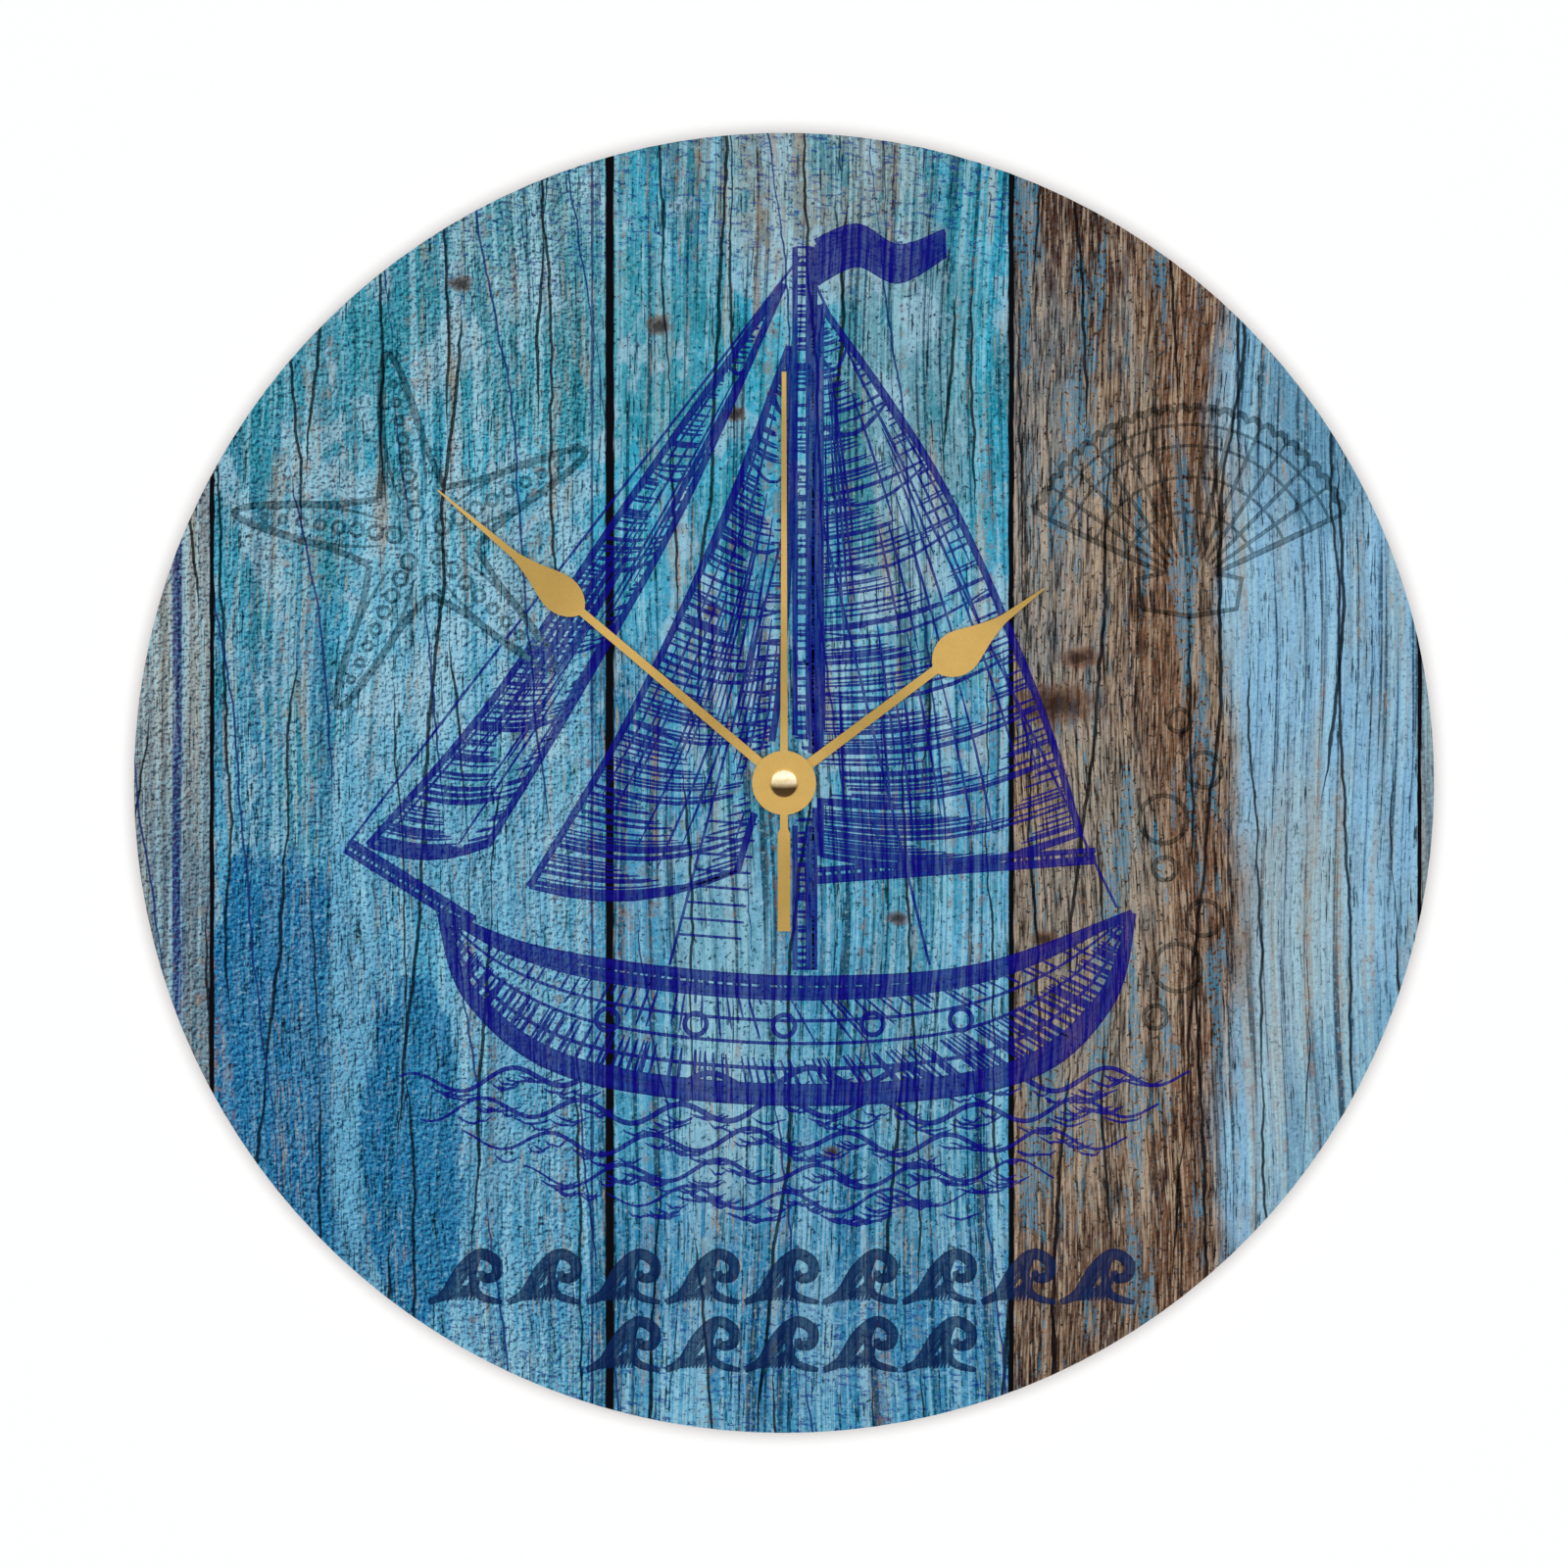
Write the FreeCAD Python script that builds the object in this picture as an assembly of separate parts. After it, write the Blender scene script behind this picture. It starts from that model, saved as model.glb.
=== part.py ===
# Frameless wall clock: a printed round board, three hands and a slim battery movement behind it.
# Millimetres. +Z is up and the dial faces -Y. The origin is the hanging hole, at the wall.
# Depths are counted forward from the wall. Every piece is first built round the hand shaft.
import FreeCAD, Part
import math
import os

overrun = 1.0
full_turn = 360.0
mostly_along_share = 0.5

# Hanging: height of the hanging hole above the top of the movement case
hanging_hole_rise = 14.0

# Board and print
dial_diameter = 250.0
board_thickness = 3.0
print_thickness = 0.3
board_hole_gap = 0.3

# Movement case: the share sets how far the hand shaft stands above the battery's partition
case_size = 56.0
shaft_rise_share = 0.2
case_depth = 16.2
case_wall = 1.2
case_corner_radius = 3.0
partition_thickness = 1.0
cover_thickness = 1.2
cover_gap = 0.1
ledge_width = 3.0
ledge_reach = 1.2
upper_ledge_drop = 6.8
lower_ledge_inset = 2.9
latch_width = 5.0
latch_spread = 12.0
latch_height = 1.0
latch_gap = 0.2
grip_groove_width = 1.0
grip_groove_depth = 0.4
grip_groove_count = 5
grip_groove_pitch = 2.2

# Battery cell in its well at the foot of the case
cell_radius = 7.0
cell_nub_radius = 2.7
cell_nub_height = 1.3
cell_gap = 0.3
contact_room = 1.7
cradle_rib_thickness = 1.2
cradle_rib_spread = 12.0
cradle_rib_height = 5.0
finger_notch_width = 16.0
finger_notch_depth = 6.0

# Battery contacts
contact_thickness = 0.4
contact_width = 10.0
contact_height = 9.0
contact_tab_width = 1.8
contact_foot_length = 3.0
contact_leaf_share = 0.5
slot_gap = 0.15

# Threaded bush and what it clamps
bush_radius = 4.0
bush_wall = 1.35
bush_flange_radius = 5.6
bush_flange_thickness = 0.6
bush_spare = 0.6
thread_gap = 0.02
hanger_thickness = 0.8
rubber_thickness = 1.0
rubber_radius = 11.0
brass_washer_thickness = 0.4
brass_washer_radius = 5.8
washer_gap = 0.1
nut_sides = 6
nut_across_flats = 10.0
nut_thickness = 2.0
nut_chamfer = 0.4

# Hanger plate
hanger_width = 28.0
hanger_tab_width = 22.0
hanger_clearance_over_case = 1.0
hanger_bend_radius = 1.0
hanging_hole_radius = 4.0
hanging_slot_radius = 1.8
hanging_slot_rise = 5.5
hanger_rim = 4.0

# Shafts
running_gap = 0.05
hour_pipe_wall = 0.9
second_arbor_radius = 0.5
arbor_radius = 0.5
pivot_length = 0.8
pivot_hole_spare = 0.2
end_shake = 0.1
boss_wall = 0.7
setting_arbor_radius = 1.2

# Hands
hub_radius = 6.16
hand_thickness = 0.4
second_hand_thickness = 0.3
hour_hand_gap = 0.3
minute_hand_gap = 0.6
second_hand_gap = 0.3
collet_length = 1.0
collet_wall = 0.8
tube_length = 1.3
tube_wall = 0.35
hour_length = 62.45
hour_arm_width = 2.0
hour_spade_base = 36.3
hour_spade_neck = 53.0
hour_spade_width = 8.45
hour_angle = 53.25
minute_length = 87.06
minute_arm_width = 1.8
minute_spade_base = 50.8
minute_spade_neck = 68.0
minute_spade_width = 7.35
minute_angle = 310.2
tip_width = 0.3
spade_shares = ((0.07, 0.60), (0.30, 1.0), (0.60, 0.66), (0.85, 0.32), (1.0, 0.19))
arm_base_share = 0.85
second_length = 78.95
second_arm_width = 1.44
second_tip_width = 0.87
second_tail_length = 28.5
second_tail_width = 2.4
second_neck_width = 1.5
second_neck_length = 8.8
second_shoulder = 0.9
cap_radius = 2.7
cap_height = 1.5

# Wheel train: distances between shafts and the teeth that share them
wheel_thickness = 0.8
leaf_overlap = 0.2
stage_pitch = 1.5
floor_gap = 0.3
motion_gap = 0.6
flange_thickness = 0.4
flange_radius = 2.8
lip_thickness = 0.2
lip_radius = 2.3
clutch_thickness = 0.4
clutch_arms = 3
clutch_radius = 2.6
clutch_arm_width = 1.0
clutch_arm_reach = 5.2
motion_distance = 8.5
third_distance = 8.5
second_distance = 6.3
rotor_distance = 5.4
setting_distance = 8.5
minute_wheel_bearing = 90.0
third_bearing = 0.0
second_stage_bearing = 150.0
rotor_bearing = 120.0
setting_bearing = 18.0
cannon_leaves = 10
minute_wheel_teeth = 30
minute_leaves = 8
hour_wheel_teeth = 32
setting_leaves = 10
centre_wheel_teeth = 48
third_leaves = 6
third_wheel_teeth = 45
second_leaves = 6
second_wheel_teeth = 36
intermediate_leaves = 6
intermediate_wheel_teeth = 30
rotor_leaves = 6
# Tooth flanks from root to tip: height in modules, half width as a share of the tooth pitch
wheel_flank_shares = ((-1.1, 0.275), (0.9, 0.10))
leaf_flank_shares = ((-1.25, 0.19), (0.55, 0.11))

# Setting knob
knob_radius = 5.0
knob_thickness = 2.1
knob_recess_radius = 6.2
knob_recess_depth = 2.8
knob_recess_wall = 1.0
knob_stand_off = 0.3
knob_grips = 20
knob_grip_depth = 0.5
knob_grip_shares = ((0.0, 0.42), (1.0, 0.2))
knob_bore_depth = 1.5

# Middle plate
plate_thickness = 1.0
plate_gap = 0.4
plate_margin = 1.5
plate_corner_radius = 2.0
plate_window_gap = 0.3
plate_centre_radius = 3.0
plate_window_sides = 8
post_half = 1.5
peg_half = 0.7
post_inset = 3.6

# Motor
magnet_radius = 2.5
magnet_length = 1.8
magnet_gap = 0.1
stator_thickness = 0.8
stator_hole_radius = 2.9
stator_neck = 1.0
stator_notch_radius = 0.4
stator_notch_bearings = (45.0, 225.0)
stator_relief_radius = 1.0
stator_side_gap = 1.8
stator_arm_width = 3.0
coil_top_gap = 0.8
core_thickness = 0.8
core_width = 3.0
bobbin_flange = 6.8
bobbin_flange_thickness = 0.8
bobbin_wall = 0.5
winding_radius = 3.0
winding_ends_gap = 0.4

# Circuit
circuit_side_gap = 1.9
circuit_right = 10.9
circuit_foot_gap = 1.8
circuit_height = 12.0
circuit_thickness = 0.8
crystal_radius = 1.0
crystal_length = 6.0
chip_half = 2.2
chip_height = 1.0
chip_edge_gap = 0.9

# Sizes that follow from the ones above
case_half = case_size / 2
inner_half = case_half - case_wall
floor_depth = case_depth - case_wall
partition_top = -case_size * shaft_rise_share
partition_foot = partition_top - partition_thickness
cell_height = partition_foot - cell_gap - cell_radius
inner_foot = cell_height - cell_radius - cell_gap
case_foot = inner_foot - case_wall
case_top = case_foot + case_size
inner_top = case_top - case_wall
case_middle = (case_foot + case_top) / 2
cell_depth = floor_depth - cell_gap - cell_radius
cell_can_length = 2 * (inner_half - contact_room) - cell_nub_height
hang_drop = case_top + hanging_hole_rise

hanger_near = case_depth
rubber_near = hanger_near + hanger_thickness
board_near = rubber_near + rubber_thickness
print_near = board_near + board_thickness
washer_near = print_near + print_thickness
nut_near = washer_near + brass_washer_thickness
bush_end = nut_near + nut_thickness + bush_spare
hour_collet_near = bush_end + hour_hand_gap
hour_sheet_near = hour_collet_near + collet_length
hour_sheet_far = hour_sheet_near + hand_thickness
minute_collet_near = hour_sheet_far + minute_hand_gap
minute_sheet_near = minute_collet_near + collet_length
minute_sheet_far = minute_sheet_near + hand_thickness
tube_near = minute_sheet_far + second_hand_gap
second_sheet_near = tube_near + tube_length - second_hand_thickness
second_sheet_far = second_sheet_near + second_hand_thickness

bush_bore = bush_radius - bush_wall
hour_pipe_radius = bush_bore - running_gap
hour_pipe_bore = hour_pipe_radius - hour_pipe_wall
minute_pipe_radius = hour_pipe_bore - running_gap
minute_pipe_bore = second_arbor_radius + running_gap
tube_radius = second_arbor_radius + tube_wall

hour_wheel_far = floor_depth - floor_gap
hour_wheel_near = hour_wheel_far - wheel_thickness
cannon_far = hour_wheel_near - motion_gap
minute_wheel_far = cannon_far - leaf_overlap
minute_wheel_near = minute_wheel_far - wheel_thickness
cannon_near = minute_wheel_near - leaf_overlap
flange_near = cannon_near - flange_thickness
clutch_near = flange_near - clutch_thickness
centre_wheel_far = clutch_near - end_shake
centre_wheel_near = centre_wheel_far - wheel_thickness
lip_far = centre_wheel_near - end_shake
lip_near = lip_far - lip_thickness
third_wheel_near = centre_wheel_near - stage_pitch
second_wheel_near = third_wheel_near - stage_pitch
intermediate_wheel_near = second_wheel_near - stage_pitch
plate_far = centre_wheel_near - plate_gap
plate_near = plate_far - plate_thickness
magnet_far = intermediate_wheel_near - leaf_overlap - magnet_gap
magnet_near = magnet_far - magnet_length
stator_near = (magnet_far + magnet_near - stator_thickness) / 2
stator_far = stator_near + stator_thickness
rear_boss_far = stator_near - end_shake
rotor_boss_far = magnet_near - 2 * end_shake
third_boss_near = centre_wheel_far + leaf_overlap + end_shake
setting_boss_near = cannon_far + end_shake

shaft_place = (0.0, 0.0)


def polar(start, distance, degrees):
    """Point in the dial's plane at a distance and bearing, counted anticlockwise from the right."""
    turn = math.radians(degrees)
    return (start[0] + distance * math.cos(turn), start[1] + distance * math.sin(turn))


minute_wheel_place = polar(shaft_place, motion_distance, minute_wheel_bearing)
setting_place = polar(minute_wheel_place, setting_distance, setting_bearing)
third_place = polar(shaft_place, third_distance, third_bearing)
intermediate_place = polar(shaft_place, second_distance, second_stage_bearing)
rotor_place = polar(intermediate_place, rotor_distance, rotor_bearing)


def rod(radius, near, far, place=shaft_place):
    """Round bar along the depth."""
    start = FreeCAD.Vector(place[0], -near, place[1])
    return Part.makeCylinder(radius, far - near, start, FreeCAD.Vector(0, -1, 0))


def bored(outer, inner, near, far, place=shaft_place):
    """Round bar with a through bore."""
    hole = rod(inner, near - overrun, far + overrun, place)
    return rod(outer, near, far, place).cut(hole)


def block(left, right, near, far, foot, top):
    """Square block from its limits in width, depth and height."""
    corner = FreeCAD.Vector(left, -far, foot)
    return Part.makeBox(right - left, far - near, top - foot, corner)


def slab(edges, near, far):
    """Flat sheet with the outline that the edges close, drawn in the dial's plane."""
    face = Part.Face(Part.Wire(edges))
    face.translate(FreeCAD.Vector(0, -near, 0))
    return face.extrude(FreeCAD.Vector(0, near - far, 0))


def flat_edges(points):
    """Straight edges round a closed outline."""
    corners = [FreeCAD.Vector(x, 0, z) for x, z in points]
    corners.append(corners[0])
    return Part.makePolygon(corners).Edges


def pad(half, near, far, place):
    """Square boss round a shaft."""
    return block(place[0] - half, place[0] + half, near, far, place[1] - half, place[1] + half)


def many_sided(sides, flat_radius, near, far, place=shaft_place):
    """Sheet with even sides, whose flats lie at the given distance from its middle."""
    corner = flat_radius / math.cos(math.pi / sides)
    points = [polar(place, corner, full_turn * side / sides) for side in range(sides)]
    return slab(flat_edges(points), near, far)


def rounded_slab(left, right, foot, top, radius, near, far):
    """Rectangular sheet with rounded corners."""
    body = block(left, right, near, far, foot, top)
    along = [e for e in body.Edges if abs(e.tangentAt(e.FirstParameter).y) > mostly_along_share]
    return body.makeFillet(radius, along)


def fused(pieces):
    """One solid from pieces that meet, without seams between their faces."""
    return pieces[0].multiFuse(pieces[1:]).removeSplitter()


def bearing(start, end):
    """Bearing of the line from one shaft to another, in degrees."""
    return math.degrees(math.atan2(end[1] - start[1], end[0] - start[0]))


def toothed(teeth, module, flank_shares, facing, near, far, place):
    """Toothed disc with the middle of one tooth at the bearing called facing."""
    pitch = math.tau / teeth
    points = []
    for tooth in range(teeth):
        middle = math.radians(facing) + tooth * pitch
        side = [(rise, -half) for rise, half in flank_shares]
        side += [(rise, half) for rise, half in reversed(flank_shares)]
        for rise, half in side:
            radius = module * (teeth / 2 + rise)
            turn = middle + half * pitch
            points.append((place[0] + radius * math.cos(turn), place[1] + radius * math.sin(turn)))
    return slab(flat_edges(points), near, far)


def wheel(teeth, module, facing, near, place, bore=0):
    """Toothed wheel that shows a tooth towards the shaft it drives."""
    disc = toothed(teeth, module, wheel_flank_shares, facing, near, near + wheel_thickness, place)
    if bore:
        disc = disc.cut(rod(bore, near - overrun, near + wheel_thickness + overrun, place))
    return disc


def pinion(leaves, module, facing, near, wheel_near, place):
    """Leaf pinion from the wheel it stands on to just past the one it drives, with a gap towards it."""
    half_pitch = math.degrees(math.pi) / leaves
    far = wheel_near + wheel_thickness + leaf_overlap
    return toothed(leaves, module, leaf_flank_shares, facing + half_pitch, near, far, place)


def shaft_module(distance, teeth, leaves):
    """Module that puts a wheel and a pinion at a distance."""
    return 2 * distance / (teeth + leaves)


def wheel_reach(module, teeth):
    """Radius over the tips of a wheel's teeth."""
    return module * (teeth / 2 + wheel_flank_shares[-1][0])


# Board, print and what clamps them
def dial_board():
    return bored(dial_diameter / 2, bush_radius + board_hole_gap, board_near, print_near)


def dial_print():
    return bored(dial_diameter / 2, bush_radius + board_hole_gap, print_near, washer_near)


def rubber_washer():
    return bored(rubber_radius, bush_radius + washer_gap, rubber_near, board_near)


def brass_washer():
    return bored(brass_washer_radius, bush_radius + washer_gap, washer_near, nut_near)


def hex_nut():
    far = nut_near + nut_thickness
    corner = nut_across_flats / 2 / math.cos(math.pi / nut_sides)
    nut = many_sided(nut_sides, nut_across_flats / 2, nut_near, far)
    start = FreeCAD.Vector(0, -nut_near, 0)
    foot = corner + nut_thickness - nut_chamfer
    cone = Part.makeCone(foot, corner - nut_chamfer, nut_thickness, start, FreeCAD.Vector(0, -1, 0))
    return nut.common(cone).cut(rod(bush_radius + thread_gap, nut_near - overrun, far + overrun))


def shaft_bush():
    flange_far = floor_depth + bush_flange_thickness
    tube = rod(bush_radius, floor_depth, bush_end)
    collar = rod(bush_flange_radius, floor_depth, flange_far)
    return tube.fuse(collar).cut(rod(bush_bore, floor_depth - overrun, bush_end + overrun)).removeSplitter()


def hanger_plate():
    """Strap over the bush, bent back over the case, with a keyhole at the wall."""
    run_foot = case_top + hanger_clearance_over_case
    run_top = run_foot + hanger_thickness
    top = hang_drop + hanging_slot_rise + hanging_slot_radius + hanger_rim
    foot = -hanger_width / 2
    far = hanger_near + hanger_thickness
    front = block(-hanger_width / 2, hanger_width / 2, hanger_near, far, foot, run_top)
    run = block(-hanger_width / 2, hanger_width / 2, 0, far, run_foot, run_top)
    tab = block(-hanger_width / 2, hanger_width / 2, 0, hanger_thickness, run_foot, top)
    strap = fused([front, run, tab])

    def bend(depth, height, radius):
        across = [e for e in strap.Edges if abs(e.Length - hanger_width) < running_gap]
        hit = [e for e in across if abs(e.CenterOfMass.y + depth) < running_gap]
        hit = [e for e in hit if abs(e.CenterOfMass.z - height) < running_gap]
        return strap.makeFillet(radius, hit)

    outer_radius = hanger_bend_radius + hanger_thickness
    strap = bend(far, run_top, outer_radius)
    strap = bend(hanger_near, run_foot, hanger_bend_radius)
    strap = bend(0, run_foot, outer_radius)
    strap = bend(hanger_thickness, run_top, hanger_bend_radius)

    outline = fused([
        rod(hanger_width / 2, -overrun, far + overrun),
        block(-hanger_width / 2, hanger_width / 2, -overrun, far + overrun, 0, run_foot),
        taper_slab(run_foot, hanger_width, hang_drop, hanger_tab_width, -overrun, far + overrun),
        rounded_tab(top, far),
    ])
    strap = strap.common(outline)
    strap = strap.cut(rod(bush_radius + washer_gap, hanger_near - overrun, far + overrun))
    hole_place = (0.0, hang_drop)
    slot_place = (0.0, hang_drop + hanging_slot_rise)
    tab_far = hanger_thickness + overrun
    strap = strap.cut(rod(hanging_hole_radius, -overrun, tab_far, hole_place))
    strap = strap.cut(rod(hanging_slot_radius, -overrun, tab_far, slot_place))
    slot = block(-hanging_slot_radius, hanging_slot_radius, -overrun, tab_far, hole_place[1], slot_place[1])
    return strap.cut(slot)


def taper_slab(foot, foot_width, top, top_width, near, far):
    """Sheet that narrows evenly from its foot to its top."""
    points = ((-foot_width / 2, foot), (foot_width / 2, foot), (top_width / 2, top), (-top_width / 2, top))
    return slab(flat_edges(points), near, far)


def rounded_tab(top, far):
    """Top of the hanger's tab, with its rounded shoulders."""
    half = hanger_tab_width / 2
    return rounded_slab(-half, half, hang_drop - half, top, half / 2, -overrun, far + overrun)


# Case
def front_hole(mouth, place):
    """Blind bearing hole that opens towards the wall."""
    return rod(arbor_radius + running_gap, mouth - overrun, mouth + pivot_length + pivot_hole_spare, place)


def rear_hole(mouth, place):
    """Blind bearing hole in a rear boss, open towards the front."""
    return rod(arbor_radius + running_gap, mouth - pivot_length - pivot_hole_spare, mouth + overrun, place)


def post_places():
    top = inner_top - post_inset
    foot = partition_top + post_inset - ledge_reach
    side = inner_half - post_inset
    return ((-side, foot), (side, foot), (side, top), (-side, top))


def peg_places():
    """The two posts across from each other that carry a locating peg."""
    places = post_places()
    return (places[0], places[2])


def ledge_blocks(near, far):
    """Ledges inside the case that carry the cover's rim, two high at the sides and two low."""
    half = ledge_width / 2
    height = inner_top - upper_ledge_drop
    blocks = []
    for side in (-1, 1):
        reach = sorted((side * inner_half, side * (inner_half - ledge_reach)))
        blocks.append(block(*reach, near, far, height - half, height + half))
        middle = side * (inner_half - lower_ledge_inset)
        foot = partition_top
        blocks.append(block(middle - half, middle + half, near, far, foot, foot + ledge_reach))
    return blocks


def contact_slots():
    """Slots in the partition where the two battery contacts pass."""
    near = cell_depth - contact_tab_width / 2 - slot_gap
    far = cell_depth + contact_tab_width / 2 + slot_gap
    slots = []
    for side in (-1, 1):
        inner = inner_half - contact_thickness - slot_gap
        reach = sorted((side * inner_half, side * inner))
        slots.append(block(*reach, near, far, partition_foot - overrun, partition_top + overrun))
    return slots


def cradle_ribs():
    """Ribs on the well's floor, hollowed to the cell."""
    near = floor_depth - cradle_rib_height
    ribs = []
    for side in (-1, 1):
        middle = side * cradle_rib_spread
        half = cradle_rib_thickness / 2
        ribs.append(block(middle - half, middle + half, near, floor_depth, inner_foot, partition_foot))
    seat = FreeCAD.Vector(-inner_half, -cell_depth, cell_height)
    hollow = Part.makeCylinder(cell_radius + cell_gap, 2 * inner_half, seat, FreeCAD.Vector(1, 0, 0))
    return [rib.cut(hollow) for rib in ribs]


def case_front():
    """Front tray: walls, battery well, posts, ledges and the front bearings."""
    shell = rounded_slab(-case_half, case_half, case_foot, case_top, case_corner_radius, 0, case_depth)
    inner_corner = case_corner_radius - case_wall
    cavity = rounded_slab(-inner_half, inner_half, inner_foot, inner_top, inner_corner,
                          -overrun, floor_depth)
    tray = shell.cut(cavity)
    partition = block(-inner_half, inner_half, 0, floor_depth, partition_foot, partition_top)
    for slot in contact_slots():
        partition = partition.cut(slot)
    posts = []
    for x, z in post_places():
        posts.append(block(x - post_half, x + post_half, plate_far, floor_depth, z - post_half, z + post_half))
    pegs = [pad(peg_half, plate_near, floor_depth, place) for place in peg_places()]
    bosses = [
        pad(arbor_radius + boss_wall, third_boss_near, floor_depth, third_place),
        pad(arbor_radius + boss_wall, setting_boss_near, floor_depth, setting_place),
    ]
    ledges = ledge_blocks(cover_thickness, floor_depth)
    tray = fused([tray, partition] + posts + pegs + bosses + ledges + cradle_ribs())
    holes = [
        front_hole(third_boss_near, third_place),
        front_hole(setting_boss_near, setting_place),
        front_hole(floor_depth, minute_wheel_place),
        rod(bush_radius, floor_depth - overrun, case_depth + overrun),
        rod(bush_flange_radius, floor_depth - overrun, floor_depth + bush_flange_thickness),
        block(-finger_notch_width / 2, finger_notch_width / 2, -overrun, finger_notch_depth,
              case_foot - overrun, inner_foot + overrun),
    ]
    for hole in holes + latch_blocks(latch_gap) + grip_grooves():
        tray = tray.cut(hole)
    return tray


def latch_blocks(gap):
    """The cover's latch lugs, or with a gap the windows that take them."""
    lugs = []
    near = -overrun if gap else 0
    half = latch_width / 2 + gap
    foot = inner_top - cover_gap - overrun
    for side in (-1, 1):
        middle = side * latch_spread
        lugs.append(block(middle - half, middle + half, near, cover_thickness + gap,
                          foot, inner_top + latch_height))
    return lugs


def grip_grooves():
    """Shallow finger grooves on both sides of the case."""
    grooves = []
    for side in (-1, 1):
        reach = sorted((side * (case_half + overrun), side * (case_half - grip_groove_depth)))
        for count in range(grip_groove_count):
            middle = case_middle + (count - (grip_groove_count - 1) / 2) * grip_groove_pitch
            half = grip_groove_width / 2
            grooves.append(block(*reach, -overrun, case_depth + overrun, middle - half, middle + half))
    return grooves


def case_back():
    """Rear cover: plate, knob recess, latch lugs and the rear bearings."""
    side = inner_half - cover_gap
    foot = partition_top + cover_gap
    corner = case_corner_radius - case_wall
    plate = rounded_slab(-side, side, foot, inner_top - cover_gap, corner, 0, cover_thickness)
    floor_near = knob_recess_depth
    floor_far = knob_recess_depth + knob_recess_wall
    recess_outer = knob_recess_radius + knob_recess_wall
    boss_half = arbor_radius + boss_wall
    bosses = [
        pad(boss_half, 0, rear_boss_far, shaft_place),
        pad(boss_half, 0, rear_boss_far, third_place),
        pad(boss_half, 0, rear_boss_far, intermediate_place),
        pad(boss_half, 0, rotor_boss_far, rotor_place),
        rod(recess_outer, 0, floor_far, setting_place),
    ]
    cover = fused([plate] + bosses + latch_blocks(0))
    holes = [
        rear_hole(rear_boss_far, shaft_place),
        rear_hole(rear_boss_far, third_place),
        rear_hole(rear_boss_far, intermediate_place),
        rear_hole(rotor_boss_far, rotor_place),
        rod(knob_recess_radius, -overrun, floor_near, setting_place),
        rod(setting_arbor_radius + running_gap, -overrun, floor_far + overrun, setting_place),
    ]
    for hole in holes:
        cover = cover.cut(hole)
    return cover


def middle_plate():
    """Inner plate on the four posts, with the front bearings of the motor side."""
    side = inner_half - plate_margin
    foot = partition_top + plate_margin
    top = inner_top - plate_margin
    window = wheel_reach(shaft_module(third_distance, third_wheel_teeth, second_leaves), third_wheel_teeth)
    plate = rounded_slab(-side, side, foot, top, plate_corner_radius, plate_near, plate_far)
    holes = [
        many_sided(plate_window_sides, window + plate_window_gap,
                   plate_near - overrun, plate_far + overrun, third_place),
        many_sided(plate_window_sides, plate_centre_radius, plate_near - overrun, plate_far + overrun),
        rod(setting_arbor_radius + 2 * running_gap, plate_near - overrun, plate_far + overrun, setting_place),
    ]
    for place in (minute_wheel_place, intermediate_place, rotor_place):
        holes.append(rod(arbor_radius + running_gap, plate_near - overrun, plate_far + overrun, place))
    for place in peg_places():
        holes.append(pad(peg_half, plate_near - overrun, plate_far + overrun, place))
    for hole in holes:
        plate = plate.cut(hole)
    return plate


# Motor
stator_left = inner_half - stator_side_gap
coil_height = inner_top - coil_top_gap - bobbin_flange / 2


def stator():
    """Soft iron plate: two arms down from the coil to the bar round the rotor."""
    foot = rotor_place[1] - stator_hole_radius - stator_neck
    bar_top = rotor_place[1] + stator_hole_radius + stator_neck
    top = coil_height + core_width / 2
    left = -stator_left
    bar = block(left, 0, stator_near, stator_far, foot, bar_top)
    arms = [
        block(left, left + stator_arm_width, stator_near, stator_far, foot, top),
        block(-stator_arm_width, 0, stator_near, stator_far, foot, top),
    ]
    plate = fused([bar] + arms)
    near = stator_near - overrun
    far = stator_far + overrun
    holes = [
        rod(stator_hole_radius, near, far, rotor_place),
        rod(stator_relief_radius, near, far, intermediate_place),
    ]
    for turn in stator_notch_bearings:
        notch_place = polar(rotor_place, stator_hole_radius, turn)
        holes.append(rod(stator_notch_radius, near, far, notch_place))
    for hole in holes:
        plate = plate.cut(hole)
    return plate


coil_depth = stator_far + core_thickness / 2
bobbin_left = -stator_left + stator_arm_width + winding_ends_gap
bobbin_right = -stator_arm_width - winding_ends_gap


def lying_rod(radius, left, right, depth, height):
    """Round bar along the width."""
    start = FreeCAD.Vector(left, -depth, height)
    return Part.makeCylinder(radius, right - left, start, FreeCAD.Vector(1, 0, 0))


def coil_core():
    foot = coil_height - core_width / 2
    top = coil_height + core_width / 2
    return block(-stator_left, 0, stator_far, stator_far + core_thickness, foot, top)


def coil_bobbin():
    """Spool with square end flanges and a slot for the core."""
    half = bobbin_flange / 2
    near = coil_depth - half
    far = coil_depth + half
    flanges = []
    for left in (bobbin_left, bobbin_right - bobbin_flange_thickness):
        right = left + bobbin_flange_thickness
        flanges.append(block(left, right, near, far, coil_height - half, coil_height + half))
    wall = bobbin_wall
    tube_near = coil_depth - core_thickness / 2 - wall
    tube_far = coil_depth + core_thickness / 2 + wall
    reach = core_width / 2 + wall
    tube = block(bobbin_left, bobbin_right, tube_near, tube_far, coil_height - reach, coil_height + reach)
    slot = block(bobbin_left - overrun, bobbin_right + overrun, stator_far, stator_far + core_thickness,
                 coil_height - core_width / 2, coil_height + core_width / 2)
    return fused([tube] + flanges).cut(slot)


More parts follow.
